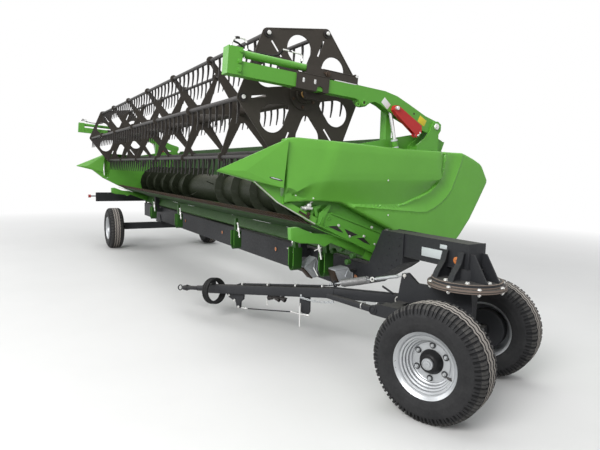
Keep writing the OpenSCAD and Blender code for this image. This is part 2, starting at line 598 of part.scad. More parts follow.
bar_to = 356;
module carriages() color(DARK) placed() translate([head_x, 0, 0]) both_ends() translate([arm_x, 0, 0]) on_arm() difference() {
  union() {
    box_at([-arm_w / 2 - 10, -203, -arm_h / 2 - 8], [arm_w / 2 + 10, 78, arm_h / 2 + 8]);
    translate([0, 0, 0]) run_x(72) polygon([[-117, arm_h / 2 + 7], [26, arm_h / 2 + 7], [bar_to, arm_h / 2 + 9], [bar_to, 126],
      [bar_to - 30, 132], [bar_to - 34, 118], [26, 118], [-40, 128], [-117, 130]]);
    box_at([-arm_w / 2 - 40, -60, -arm_dz - 60], [-arm_w / 2 - 1, 60, 20]);
    translate([-arm_w / 2 - 25, 0, 0]) rotate([arm_slope, 0, 0]) translate([0, 0, -arm_dz]) rod_x(46, 60);
  }
  box_at([-arm_w / 2 - slide_gap, -220, -arm_h / 2 - slide_gap], [arm_w / 2 + slide_gap, 100, arm_h / 2 + slide_gap]);
  box_at([-29.5, -120, rod_z - 29], [29.5, bar_to - 30, 200]);
  translate([0, bar_to - 60, rod_z]) rotate([-90, 0, 0]) cylinder(h = 100, r = 14 + fit_gap);
  rotate([arm_slope, 0, 0]) translate([0, 0, -arm_dz]) rod_x(300, stub_r + fit_gap);
}

module slide_rods() color(SILVER) placed() translate([head_x, 0, 0]) both_ends() translate([arm_x, 0, 0]) on_arm()
  translate([0, -185, rod_z]) rotate([-90, 0, 0]) cylinder(h = 185 + bar_to - 4, r = 14);

// Reel

function about(r, a) = [r * cos(a), r * sin(a)];
eye_disc = 42;
// end star: six-sided plate with rounded corners, six holes and a slot along each spoke
module end_star() difference() {
  union() {
    polygon([for (k = [0 : 5]) each [about(reel_r, 60 * k) + about(eye_disc, 60 * k - 30), about(reel_r, 60 * k) + about(eye_disc, 60 * k + 30)]]);
    for (k = [0 : 5]) translate(about(reel_r, 60 * k)) circle(r = eye_disc);
  }
  for (k = [0 : 5]) rotate([0, 0, 60 * k]) {
    translate([reel_r, 0]) circle(r = bat_r + fit_gap);
    translate([reel_r - 200, -8]) square([140, 16]);
  }
  for (k = [0 : 5]) rotate([0, 0, 60 * k + 30]) {
    translate([345, 0]) circle(r = 108);
    translate([208, 0]) circle(r = 38);
    polygon([[196, 36], [300, 98], [300, -98], [196, -36]]);
  }
  circle(r = hub_tube_r + fit_gap);
}
// inner star: a ring with six tapered arms
module inner_star() difference() {
  union() {
    circle(r = 150);
    for (k = [0 : 5]) rotate([0, 0, 60 * k]) {
      translate([reel_r, 0]) circle(r = eye_disc);
      polygon([[60, 62], [reel_r, 22], [reel_r, -22], [60, -62]]);
    }
  }
  for (k = [0 : 5]) rotate([0, 0, 60 * k]) translate([reel_r, 0]) circle(r = bat_r + fit_gap);
  circle(r = hub_tube_r + fit_gap);
}
module star_at(x) translate([x, 0, 0]) rotate([90, 0, 90]) linear_extrude(star_t, center = true) rotate([0, 0, reel_turn]) children();
module reel_tube() color(DARK) placed() reel_axis() {
  rod_x(reel_len, hub_tube_r);
  rod_x(2 * arm_x - arm_w - 6, stub_r);
  both_ends() translate([reel_len / 2 + star_t / 2 + 6, 0, 0]) rod_x(11, 128);
}
module reel_stars() color(DARK) placed() reel_axis() for (i = [0 : star_n - 1])
  star_at(-reel_len / 2 + i * star_gap) {
    if (i == 0 || i == star_n - 1) end_star();
    else inner_star();
  }

tine_pts = [[-12, 14], [12, 14], [16, -60], [10, -120], [-6, -tine_len], [-14, -tine_len], [-6, -120], [-4, -60]];
module bat(k) color(DARK) placed() reel_axis()
  translate([0, reel_r * cos(reel_turn + 60 * k), reel_r * sin(reel_turn + 60 * k)]) {
    rod_x(reel_len + 60, bat_r);
    for (i = [0 : star_n - 2]) {
      m = floor((star_gap - 90) / tine_pitch);
      for (j = [0 : m]) translate([-reel_len / 2 + (i + 0.5) * star_gap + (j - m / 2) * tine_pitch, 0, 0])
        run_x(10) polygon(tine_pts);
    }
  }
module bat_1() bat(0);
module bat_2() bat(1);
module bat_3() bat(2);
module bat_4() bat(3);
module bat_5() bat(4);
module bat_6() bat(5);

// Lift cylinders of the reel

cyl_a = atan2(foot_y - eye_y, eye_z - foot_z);
cyl_len = norm([foot_y - eye_y, eye_z - foot_z]);
barrel_len = 430;
module on_cyl(s) placed() translate([head_x + s * arm_x, foot_y, foot_z]) rotate([cyl_a, 0, 0]) children();
module lift_barrel(s) on_cyl(s) difference() {
  union() {
    rod_x(36, 28);
    translate([0, 0, 24]) cylinder(h = barrel_len - 24, r = 27);
  }
  rod_x(60, cyl_pin_r + fit_gap);
  translate([0, 0, 90]) cylinder(h = barrel_len, r = 16 + fit_gap);
}
module lift_rod(s) on_cyl(s) difference() {
  union() {
    translate([0, 0, cyl_len]) rod_x(36, 28);
    translate([0, 0, 160]) cylinder(h = cyl_len - 170, r = 16);
  }
  // the eye has room on its pin, since it drifts there as the reel lifts
  translate([0, 0, cyl_len]) rod_x(60, cyl_pin_r + rod_eye_gap);
}
module lift_barrel_near() color(GREEN) lift_barrel(1);
module lift_barrel_far() color(GREEN) lift_barrel(-1);
module lift_rod_near() color(SILVER) lift_rod(1);
module lift_rod_far() color(SILVER) lift_rod(-1);

main_beam();
gooseneck();
rear_axle();
light_bar();
lamps();
cradles();
chocks();
bogie_frame();
drawbar_spring();
drawbar();
cable_coil();
rim_fn();
rim_ff();
rim_rn();
rim_rf();
tyre_fn();
tyre_ff();
tyre_rn();
tyre_rf();
trough();
knife_table();
cutterbar();
back_frame();
end_frames();
side_covers();
dividers();
skid_shoes();
auger();
reel_arms();
safety_props();
slide_cylinders();
carriages();
slide_rods();
reel_tube();
reel_stars();
bat_1();
bat_2();
bat_3();
bat_4();
bat_5();
bat_6();
lift_barrel_near();
lift_barrel_far();
lift_rod_near();
lift_rod_far();
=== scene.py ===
import bpy
import bmesh
import math
from math import cos, pi, radians, sin
from mathutils import Matrix, Vector
from mathutils.geometry import delaunay_2d_cdt


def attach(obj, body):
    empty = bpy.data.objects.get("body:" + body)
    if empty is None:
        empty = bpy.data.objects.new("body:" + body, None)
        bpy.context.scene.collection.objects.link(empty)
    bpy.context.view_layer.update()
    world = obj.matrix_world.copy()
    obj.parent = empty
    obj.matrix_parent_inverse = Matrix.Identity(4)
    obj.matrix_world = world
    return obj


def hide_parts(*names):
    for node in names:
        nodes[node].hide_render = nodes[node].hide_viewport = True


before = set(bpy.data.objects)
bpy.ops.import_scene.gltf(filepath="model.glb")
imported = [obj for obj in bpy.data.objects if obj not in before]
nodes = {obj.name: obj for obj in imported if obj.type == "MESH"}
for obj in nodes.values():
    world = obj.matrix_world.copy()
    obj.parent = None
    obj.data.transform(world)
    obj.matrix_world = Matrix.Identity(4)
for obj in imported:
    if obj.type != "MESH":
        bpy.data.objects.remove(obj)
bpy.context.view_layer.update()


# ---------- shader expressions ----------

class Wire:
    """A socket in a material's node tree that takes part in sums."""

    def __init__(self, kit, socket):
        self.kit, self.socket = kit, socket

    def calc(self, kind, *rest):
        return self.kit.node("ShaderNodeMath", {"operation": kind}, dict(enumerate([self, *rest])))

    def __add__(self, b): return self.calc("ADD", b)
    def __sub__(self, b): return self.calc("SUBTRACT", b)
    def __rsub__(self, b): return self.kit.node("ShaderNodeMath", {"operation": "SUBTRACT"}, {0: b, 1: self})
    def __mul__(self, b): return self.calc("MULTIPLY", b)
    def __truediv__(self, b): return self.calc("DIVIDE", b)


class Finish:
    """A material and its node tree, or just a tree."""

    def __init__(self, name="", tree=None):
        if tree:
            self.tree = tree
            return
        self.mat = bpy.data.materials.new(name)
        self.mat.use_nodes = True
        self.tree = self.mat.node_tree
        self.shader = self.tree.nodes["Principled BSDF"]

    def node(self, kind, settings=None, values=None, out=0):
        n = self.tree.nodes.new(kind)
        for key, value in (settings or {}).items():
            if key == "stops":
                ramp = n.color_ramp
                while len(ramp.elements) < len(value):
                    ramp.elements.new(0.5)
                for e, (p, c) in zip(ramp.elements, value):
                    e.position, e.color = p, (c, c, c, 1) if isinstance(c, (int, float)) else (*c, 1)
            else:
                setattr(n, key, value)
        for key, value in (values or {}).items():
            self.put(n.inputs[key], value)
        return Wire(self, n.outputs[out])

    def put(self, socket, value):
        if isinstance(value, Wire):
            self.tree.links.new(value.socket, socket)
        elif socket.type == "RGBA" and not isinstance(value, (int, float)):
            socket.default_value = (*value, 1) if len(value) == 3 else value
        else:
            socket.default_value = value

    def place(self):
        return self.node("ShaderNodeTexCoord", out=3)

    def noise(self, scale, detail=4, rough=0.55, at=None):
        return self.node("ShaderNodeTexNoise", {},
            {"Vector": at or self.place(), "Scale": scale, "Detail": detail, "Roughness": rough})

    def ramp(self, fac, *stops):
        return self.node("ShaderNodeValToRGB", {"stops": stops}, {"Fac": fac})

    def mix(self, fac, a, b):
        n = self.tree.nodes.new("ShaderNodeMix")
        n.data_type = "RGBA"
        self.put(n.inputs[0], fac)
        self.put(n.inputs[6], a)
        self.put(n.inputs[7], b)
        return Wire(self, n.outputs[2])

    def blend(self, fac, a, b, end):
        """Mix two shaders into the tree's output node."""
        mixed = self.node("ShaderNodeMixShader", {}, {0: fac, 1: a, 2: b})
        self.tree.links.new(mixed.socket, self.tree.nodes[end].inputs[0])

    def bump(self, height, strength, distance):
        return self.node("ShaderNodeBump", {}, {"Height": height, "Strength": strength, "Distance": distance})

    def set(self, **values):
        for key, value in values.items():
            self.put(self.shader.inputs[key.replace("_", " ")], value)
        return self.mat


def upward(f):
    """1 on faces that look up, 0 on the rest."""
    n = f.node("ShaderNodeNewGeometry", out=1)
    return f.node("ShaderNodeSeparateXYZ", {}, {0: n}, out=2)


def paint(name, colour, dust=(0.42, 0.38, 0.31), dusty=0.35, rough=0.38, wear=None, metallic=0.0, front_shade=None):
    """Farm-machine enamel: orange peel, dull dusty tops, darker stains, chips if asked for, and painted shade
    on faces that look forward (-y) if asked for.
    """
    f = Finish(name)
    broad = f.noise(2.2, 5, 0.6)
    fine = f.noise(38, 3, 0.6)
    stain = f.ramp(broad, (0.35, 0.0), (0.72, 1.0))
    dark = tuple(c * 0.72 for c in colour)
    base = f.mix(stain * 0.45, colour, dark)
    top = f.ramp(upward(f) * 0.8 + fine * 0.35 - 0.12, (0.45, 0.0), (1.0, 1.0))
    base = f.mix(top * dusty, base, dust)
    if wear:
        chips = f.ramp(f.noise(23, 6, 0.72), (0.66, 0.0), (0.70, 1.0))
        base = f.mix(chips * 0.85, base, wear)
    # painted shade: faces that look forward (-y) are darkened towards the given colour, as if in shadow
    if front_shade:
        side = f.node("ShaderNodeSeparateXYZ", {}, {0: f.node("ShaderNodeNewGeometry", out=1)}, out=1)
        base = f.mix(f.ramp(side * -1, (0.10, 0.0), (0.5, 0.9)), base, front_shade)
    peel = f.noise(420, 2, 0.5)
    f.put(f.shader.inputs["Specular IOR Level"], 0.5 if sum(colour) > 0.4 else 0.28)
    gloss = f.ramp(fine, (0.3, rough), (0.75, min(1, rough + 0.22))) + top * 0.2
    return f.set(Base_Color=base, Roughness=gloss, Metallic=metallic, Normal=f.bump(peel, 0.06, 0.001))


def metal(name, colour, rough=0.35, spots=(0.30, 0.24, 0.19), spotty=0.3, grain=160):
    """Bare or plated steel with fine streaks and some grime."""
    f = Finish(name)
    fine = f.noise(grain, 3, 0.6)
    grime = f.ramp(f.noise(9, 6, 0.65), (0.45, 0.0), (0.75, 1.0))
    return f.set(Base_Color=f.mix(grime * spotty, colour, spots), Metallic=0.85,
        Roughness=f.ramp(fine, (0.3, rough), (0.7, rough + 0.2)) + grime * 0.2,
        Normal=f.bump(fine, 0.08, 0.001))


def black_rubber(name, colour=(0.030, 0.029, 0.028), dusty=0.30):
    f = Finish(name)
    grit = f.noise(60, 5, 0.7)
    cloud = f.ramp(f.noise(7, 5, 0.65), (0.35, 0.0), (0.75, 1.0))
    f.put(f.shader.inputs["Specular IOR Level"], 0.3)
    return f.set(Base_Color=f.mix(cloud * dusty, colour, tuple(c + 0.07 for c in colour)),
        Roughness=f.ramp(grit, (0.3, 0.62), (0.7, 0.85)), Normal=f.bump(grit, 0.12, 0.002))


def plastic(name, colour, rough=0.3, **more):
    f = Finish(name)
    fine = f.noise(90, 3, 0.5)
    cloud = f.ramp(f.noise(6, 4, 0.6), (0.4, 0.0), (0.8, 1.0))
    return f.set(Base_Color=f.mix(cloud * 0.25, colour, tuple(c * 0.6 for c in colour)),
        Roughness=f.ramp(fine, (0.3, rough), (0.8, rough + 0.2)), Normal=f.bump(fine, 0.04, 0.001), **more)


M = {
    "green": paint("green_enamel", (0.105, 0.365, 0.035), dusty=0.15, rough=0.34),
    # frame: the header green, with painted shade darkening the faces that look forward (-y)
    "frame": paint("green_frame_enamel_front_painted_shade", (0.105, 0.365, 0.035), dusty=0.15, rough=0.42,
        front_shade=(0.022, 0.075, 0.010)),
    "cover": paint("green_cover_enamel", (0.135, 0.430, 0.045), dusty=0.10, rough=0.30),
    # hook: the header's green darkened as painted shade, for the hooks and lugs under the header
    "hook": paint("green_enamel_painted_shade", (0.022, 0.085, 0.010), dust=(0.08, 0.12, 0.05), dusty=0.25, rough=0.4),
    # inner: green darkened as painted shade for the trough and knife table, with wear chips
    "inner": paint("green_inside_painted_shade_and_wear", (0.024, 0.070, 0.014), dust=(0.08, 0.08, 0.06), dusty=0.3, rough=0.62,
        wear=(0.10, 0.10, 0.08)),
    # auger: its green darkened almost to black as painted shade, with wear chips
    "auger": paint("auger_enamel_painted_shade_and_wear", (0.024, 0.030, 0.016), dust=(0.09, 0.075, 0.055), dusty=0.3,
        rough=0.45, wear=(0.14, 0.13, 0.11)),
    "grey": paint("dark_grey_enamel", (0.026, 0.027, 0.030), dust=(0.13, 0.12, 0.105), dusty=0.40, rough=0.45,
        wear=(0.055, 0.050, 0.046)),
    "reel": paint("dark_brown_reel_enamel", (0.046, 0.039, 0.032), dust=(0.15, 0.13, 0.11), dusty=0.35,
        rough=0.45),
    "brass": metal("dull_brass", (0.46, 0.27, 0.10), 0.4, spots=(0.15, 0.09, 0.05), spotty=0.5),
    "tine": plastic("dark_tine_plastic", (0.016, 0.013, 0.012), 0.45),
    "rim": paint("silver_rim_enamel", (0.50, 0.515, 0.53), dust=(0.36, 0.34, 0.31), dusty=0.2, rough=0.27,
        metallic=0.72),
    "tyre": black_rubber("tyre_rubber", (0.016, 0.016, 0.017), 0.22),
    "zinc": metal("galvanised_steel", (0.50, 0.52, 0.53), 0.42, spotty=0.25, grain=40),
    "steel": metal("bright_steel", (0.66, 0.65, 0.62), 0.30),
    "coil": metal("dull_coil_spring_steel", (0.34, 0.34, 0.34), 0.42, spots=(0.16, 0.15, 0.14), spotty=0.4),
    "galvanised": paint("galvanised_sheet", (0.52, 0.54, 0.56), dust=(0.42, 0.40, 0.37), dusty=0.1,
        rough=0.32, metallic=0.45),
    "chrome": metal("hard_chrome", (0.80, 0.80, 0.80), 0.10, spotty=0.06),
    "knife": metal("dark_knife_steel", (0.070, 0.052, 0.040), 0.45, spots=(0.10, 0.055, 0.03), spotty=0.6),
    "red": paint("red_enamel", (0.50, 0.020, 0.018), dusty=0.1),
    "lens": plastic("red_lamp_lens", (0.40, 0.015, 0.012), 0.18, Coat_Weight=0.5),
    "amber": plastic("amber_reflector", (0.60, 0.17, 0.02), 0.2, Coat_Weight=0.5),
    "white": plastic("white_blank_sticker", (0.78, 0.78, 0.76), 0.35),
    "yellow": plastic("yellow_blank_sticker", (0.75, 0.60, 0.03), 0.35),
    "white_zinc": metal("bright_zinc", (0.74, 0.74, 0.72), 0.35, spotty=0.15),
    "plate": plastic("blank_pale_plate", (0.60, 0.64, 0.65), 0.35),
    "cable": black_rubber("cable_sheath", (0.012, 0.012, 0.012), 0.15),
    "tread": black_rubber("worn_tread", (0.33, 0.30, 0.27), 0.4),
    "shoulder": black_rubber("dusty_tread_shoulder", (0.045, 0.043, 0.041), 0.5),
    "black": paint("black_hub_enamel", (0.008, 0.008, 0.009), dust=(0.05, 0.05, 0.05), dusty=0.2, rough=0.35),
    "rust": paint("rusty_steel", (0.20, 0.155, 0.125), dust=(0.30, 0.26, 0.22), dusty=0.3, rough=0.6,
        wear=(0.09, 0.055, 0.035)),
}

NODE_FINISH = {
    "grey": "main_beam gooseneck rear_axle light_bar cradles bogie_frame drawbar",
    "zinc": "chocks drawbar_spring", "cable": "cable_coil", "lens": "lamps",
    "rim": "rim_fn rim_ff rim_rn rim_rf", "tyre": "tyre_fn tyre_ff tyre_rn tyre_rf",
    "inner": "trough knife_table", "auger": "auger", "knife": "cutterbar",
    "frame": "back_frame",
    "green": "end_frames skid_shoes reel_arms slide_cylinders lift_barrel_near lift_barrel_far",
    "cover": "side_covers dividers", "red": "safety_props", "reel": "carriages reel_tube reel_stars",
    "tine": "bat_1 bat_2 bat_3 bat_4 bat_5 bat_6", "chrome": "slide_rods lift_rod_near lift_rod_far",
}
for finish, names in NODE_FINISH.items():
    for name in names.split():
        data = nodes[name].data
        data.materials.clear()
        data.materials.append(M[finish])


# ---------- places ----------

# Lengths in the builders below are millimetres from the turntable axis on the floor.

SHIFT = Vector((4.224383, 0.133419, 0))
ROW = Matrix.Translation(SHIFT) @ Matrix.Scale(0.001, 4)


def at(x, y, z):
    return Matrix.Translation((x, y, z))


def about(axis, degrees):
    return Matrix.Rotation(radians(degrees), 4, axis)


def aimed(point, direction):
    """A place at point whose own Z axis looks along direction."""
    return at(*point) @ Vector(direction).to_track_quat("Z", "Y").to_matrix().to_4x4()


def on_side(x, y, z):
    return aimed((x, y, z), (1, 0, 0))


def on_front(x, y, z):
    return aimed((x, y, z), (0, -1, 0))


def plug(radius, low, high):
    """Profile of a plain round disc."""
    return [(0, low), (radius, low), (radius, high), (0, high)]


HEAD_X, ARM_X, COVER_X, RAIL_X, HALF = -4820, 3872, 3818, 3846, 3810
AXLE_Z = 380
HINGE_X, HINGE_Y, HINGE_Z = -600, 200, 545
PIN_X, PIN_Z = -470, 790
HEAD_LOCAL = at(HEAD_X, -600, 1150) @ about("X", -22)
HEAD = ROW @ HEAD_LOCAL
BOGIE = ROW @ about("Z", 20.6)
DRAW = BOGIE @ at(-1120, 0, 543) @ about("Y", -8.1)
ARM = ROW @ at(HEAD_X, -693, 2214) @ about("X", -3.9)
REEL = ROW @ at(HEAD_X, -693, 2168) @ about("X", 7.5)
RUNNER = [(-222, -132), (-180, -218), (-88, -212), (72, -156), (135, -166), (180, -110), (539.8, -112),
    (539.8, -18), (130, -56), (-4, -102), (-161, -101)]
END = {"near": Matrix.Identity(4), "far": Matrix.Scale(-1, 4, (1, 0, 0))}
SIDEWAYS = Matrix(((0, 0, 1, 0), (1, 0, 0, 0), (0, 1, 0, 0), (0, 0, 0, 1)))  # drawn (y, z), thick along x
UPRIGHT = Matrix(((1, 0, 0, 0), (0, 0, -1, 0), (0, 1, 0, 0), (0, 0, 0, 1)))  # drawn (x, z), thick along -y


def crosswise(x, y=0, z=0):
    return SIDEWAYS @ at(y, z, x)


# ---------- mesh kit ----------

class Piece:
    """One piece of the model; its forms are added one by one in the axes of where."""

    def __init__(self, name, finish, where=ROW):
        self.name, self.finishes, self.where = name, finish.split(), where
        self.bm = bmesh.new()
        self.slot = 0

    def faces(self, points, faces, m=Matrix()):
        vs = [self.bm.verts.new(m @ Vector(p)) for p in points]
        for f in faces:
            self.bm.faces.new([vs[i] for i in f]).material_index = self.slot
        return vs

    def turned(self, m, profile, steps=24, ring=False):
        """Lathe work about the local Z axis, from (radius, height) pairs; ring closes the profile on itself."""
        points, rows, faces = [], [], []
        for r, h in profile:
            n = 1 if abs(r) < 1e-6 else steps
            rows.append([len(points) + i for i in range(n)])
            points += [(r * cos(2 * pi * i / n), r * sin(2 * pi * i / n), h) for i in range(n)]
        for a, b in zip(rows, rows[1:] + rows[:1] if ring else rows[1:]):
            for i in range(steps):
                j = (i + 1) % steps
                f = [a[i % len(a)], a[j % len(a)], b[j % len(b)], b[i % len(b)]]
                f = list(dict.fromkeys(f))
                if len(f) > 2:
                    faces.append(f)
        if not ring:
            faces += [row for row in (rows[0], rows[-1]) if len(row) > 1]
        return self.faces(points, faces, m)

    def hoop(self, m, profile, steps=24):
        return self.turned(m, profile, steps, ring=True)

    def prism(self, m, outline, depth, edge=0.0, middle=False):
        """A flat outline given a thickness along the local Z axis, its edges rounded by edge."""
        low, high = (-depth / 2, depth / 2) if middle else (0, depth)
        n = len(outline)
        points = [(x, y, z) for z in (low, high) for x, y in outline]
        faces = [list(range(n)), list(range(n, 2 * n))]
        faces += [[i, (i + 1) % n, n + (i + 1) % n, n + i] for i in range(n)]
        vs = self.faces(points, faces, m)
        if edge:
            edges = list({e for v in vs for e in v.link_edges})
            bmesh.ops.bevel(self.bm, geom=edges, offset=edge, offset_type="OFFSET", segments=2, profile=0.5,
                affect="EDGES", clamp_overlap=True, material=self.slot)

    def block(self, m, size, edge=2.0):
        """A block centred on the place, its edges rounded."""
        a, b, c = (v / 2 for v in size)
        self.prism(m, [(-a, -b), (a, -b), (a, b), (-a, b)], size[2], edge, middle=True)

    def rod(self, path, r, sides=10, m=Matrix(), ends=True, radii=None):
        """A round bar along a path of points."""
        pts = [Vector(p) for p in path]
        ways = [(b - a).normalized() for a, b in zip(pts, pts[1:])]
        points, rows = [], []
        q = ways[0].to_track_quat("Z", "Y")
        last = ways[0]
        for i, p in enumerate(pts):
            d = (ways[max(i - 1, 0)] + ways[min(i, len(ways) - 1)]).normalized()
            q = last.rotation_difference(d) @ q
            last = d
            stretch = 1 / max(0.5, d.dot(ways[min(i, len(ways) - 1)]))
            wide = (radii[i] if radii else r) * stretch
            rows.append([len(points) + j for j in range(sides)])
            for j in range(sides):
                a = 2 * pi * j / sides
                points.append(p + q @ Vector((wide * cos(a), wide * sin(a), 0)))
        faces = [[a[j], a[(j + 1) % sides], b[(j + 1) % sides], b[j]] for a, b in zip(rows, rows[1:])
            for j in range(sides)]
        if ends:
            faces += [rows[0], rows[-1]]
        self.faces(points, faces, m)

    def bolt(self, m, r, stud=0.0, washer=True, sides=12):
        """Hexagon head on a washer, or a nut with the stud's end showing; the place is on the surface."""
        if washer:
            self.turned(m, [(0, -0.3 * r), (2.0 * r, -0.3 * r), (2.1 * r, 0.1 * r), (2.0 * r, 0.32 * r),
                (0, 0.32 * r)], 2 * sides)
        hexagon = [(0, 0), (1.72 * r, 0.1 * r), (1.72 * r, 1.1 * r), (1.5 * r, 1.35 * r), (0, 1.38 * r)]
        self.turned(m, hexagon, 6)
        if stud:
            self.turned(m, [(0, r), (r, r), (r, 1.35 * r + stud - 0.25 * r), (0.75 * r, 1.35 * r + stud),
                (0, 1.35 * r + stud)], sides)

    def bolts(self, places, r, **more):
        """The same bolt at each place."""
        for m in places:
            self.bolt(m, r, **more)

    def done(self, body, *stands_for, sharp=32, outward=None):
        self.bm.transform(self.where)
        bmesh.ops.recalc_face_normals(self.bm, faces=self.bm.faces)
        if outward and sum(f.normal.dot(Vector(outward)) * f.calc_area() for f in self.bm.faces) < 0:
            bmesh.ops.reverse_faces(self.bm, faces=self.bm.faces)
        mesh = bpy.data.meshes.new(self.name)
        self.bm.to_mesh(mesh)
        self.bm.free()
        mesh.shade_smooth()
        mesh.set_sharp_from_angle(angle=radians(sharp))
        for f in self.finishes:
            mesh.materials.append(M[f])
        o = bpy.data.objects.new(self.name, mesh)
        bpy.context.scene.collection.objects.link(o)
        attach(o, body)
        if stands_for:
            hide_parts(*stands_for)
        return o


# ---------- wheels ----------

WHEELS = {"fn": (BOGIE, 0, -509, 1), "ff": (BOGIE, 0, 509, -1), "rn": (ROW, -7800, -950, 1),
    "rf": (ROW, -7800, 950, -1)}
PITCHES = 42
CUTS = (0, 0.05, 0.27, 0.32, 0.58, 0.62, 0.70, 0.74)
# rows over the tyre: across, radius, depth of the lug gap, depth of the fine cut, depth of the groove
HALF_TYRE = [(-104, 206, 0, 0, 0), (-117, 214, 0, 0, 0), (-126, 236, 0, 0, 0), (-129.5, 258, 0, 0, 0),
    (-130.8, 262, 0, 0, 0), (-131, 267, 0, 0, 0), (-130.6, 271, 0, 0, 0), (-131.8, 290, 0, 0, 0),
    (-131.6, 306, 0, 0, 0), (-129, 320, 0, 0, 0), (-126.5, 326, 7, 3, 0), (-122, 338, 14, 9, 0),
    (-112, 357, 15, 10, 0), (-101, 369.5, 15, 10, 0), (-90, 376, 14, 9, 0), (-76, 378.6, 13, 7, 0),
    (-64, 379.2, 9, 5, 0), (-61.5, 379.2, 0, 0, 10), (-51, 379.6, 0, 0, 10), (-48.5, 379.8, 0, 0, 0),
    (-31, 380, 0, 0, 0), (-28.5, 379.8, 0, 0, 10), (-17.5, 379.8, 0, 0, 10), (-15, 380, 0, 0, 0)]
TYRE_ROWS = HALF_TYRE + [(-y, r, a, b, c) for y, r, a, b, c in reversed(HALF_TYRE)]

# section of the dished rim: nut disc, stepped well, flange, drop centre and the back of the disc
RIM = [(70, 9), (124, 9), (129, 13), (131, 24), (139, 28), (143, 33), (145, 46), (154, 50), (158, 64),
    (168, 68), (172, 82), (184, 86), (189, 98), (197, 104), (206, 109), (212, 116), (217.5, 118), (220, 115),
    (215, 110), (209, 104), (205, 98), (205, -98), (209, -104), (215, -110), (220, -115), (217.5, -118),
    (212, -116), (206, -109), (198, -104), (192, -96), (188, -60), (187, 60), (180, 72), (168, 60), (160, 42),
    (148, 36), (140, 22), (128, 8), (122, 2), (108, 0), (70, 0)]

for key, (frame_of, x, y, side) in WHEELS.items():
    hub = frame_of @ at(x, y, AXLE_Z) @ about("X", 90 * side)
    tread = Piece("tyre_with_tread_" + key, "tyre tread shoulder", hub)
    columns = PITCHES * len(CUTS)
    points = []
    for c in range(columns):
        part = CUTS[c % len(CUTS)]
        a = 2 * pi * (c // len(CUTS) + part) / PITCHES
        sway = 8 * (abs(4 * part - 2) - 1)
        gap, fine = 0.04 < part < 0.3, 0.6 < part < 0.72
        for across, r, lug, sipe, groove in TYRE_ROWS:
            cut = lug * gap + sipe * fine
            steep = min(1, max(0, (abs(across) - 70) / 60))
            z = across + (sway if abs(across) < 63 else 0) - math.copysign(cut * steep, across)
            rr = r - cut * (1 - 0.5 * steep) - groove
            points.append((rr * cos(a), rr * sin(a), z))
    n = len(TYRE_ROWS)
    vs = tread.faces(points, [])
    for c in range(columns):
        d = (c + 1) % columns
        for j in range(n):
            k = (j + 1) % n
            f = tread.bm.faces.new([vs[c * n + j], vs[d * n + j], vs[d * n + k], vs[c * n + k]])
            wide, groove = max(abs(TYRE_ROWS[j][0]), abs(TYRE_ROWS[k][0])), TYRE_ROWS[j][4] or TYRE_ROWS[k][4]
            raised = 0.29 < CUTS[c % len(CUTS)] or CUTS[c % len(CUTS)] == 0
            shoulder = 2 if raised and wide < 113 else 0
            f.material_index = 0 if groove or j == n - 1 else 1 if wide < 50 else shoulder
    tread.done("wheel_" + key, "tyre_" + key, sharp=40)

    nuts = Piece("wheel_nuts_" + key, "zinc grey", hub)
    nuts.slot = 1
    for i in range(6):
        nuts.turned(about("Z", 60 * i + 28) @ at(108, 0, 9),
            [(0, -2), (23, -2), (23, 1.0), (21, 1.6), (0, 1.6)], 24)
    nuts.slot = 0
    for i in range(6):
        m = about("Z", 60 * i + 28) @ at(108, 0, 9)
        nuts.hoop(m, [(21.5, 0), (24, 0), (25, 1.5), (24, 2.6), (22, 2.6), (21, 1.5)], 28)
        nuts.bolt(m @ at(0, 0, 1.5), 7.8, stud=9, washer=False)
    nuts.done("wheel_" + key)
    barrel = Piece("hub_barrel_" + key, "black", hub)
    barrel.turned(Matrix(), [(0, 2), (80, 2), (80, 13), (77, 19), (70, 34), (64, 48), (58, 58), (50, 63),
        (0, 63)], 48)
    barrel.done("wheel_" + key)
    cap = Piece("hub_cap_" + key, "rim", hub)
    cap.turned(Matrix(), [(0, 60), (38, 60), (38, 71), (35.5, 75), (31, 76), (29, 73), (23, 73), (21, 79),
        (12, 80.5), (11, 78), (6, 78), (5, 81), (0, 81)], 36)
    cap.done("wheel_" + key)
    valve = Piece("tyre_valve_" + key, "tine", hub)
    valve.rod([(172, -56, 74), (150, -50, 78), (128, -42, 80)], 8, 12, radii=[11, 8, 4])
    valve.done("wheel_" + key)
    dish = Piece("dished_rim_" + key, "rim", hub)
    dish.hoop(Matrix(), RIM, 96)
    dish.done("wheel_" + key, "rim_" + key)
    # brake drum behind the disc in dark grey; it also covers the inner side of the rim's disc as painted shade
    drum = Piece("brake_drum_" + key, "grey", hub)
    drum.hoop(Matrix(), [(40, -98), (146, -98), (152, -92), (152, -20), (146, -12), (120, -3), (40, -3)], 48)
    drum.done("wheel_" + key)


# ---------- moulded end covers ----------

# Drawn in the header's own axes: (forward-back, up) and the height of the moulding out from the end sheet.
# The last three corners of CREASE, LIP and FACE close each outline outside the cover; FOLDS leaves them out.

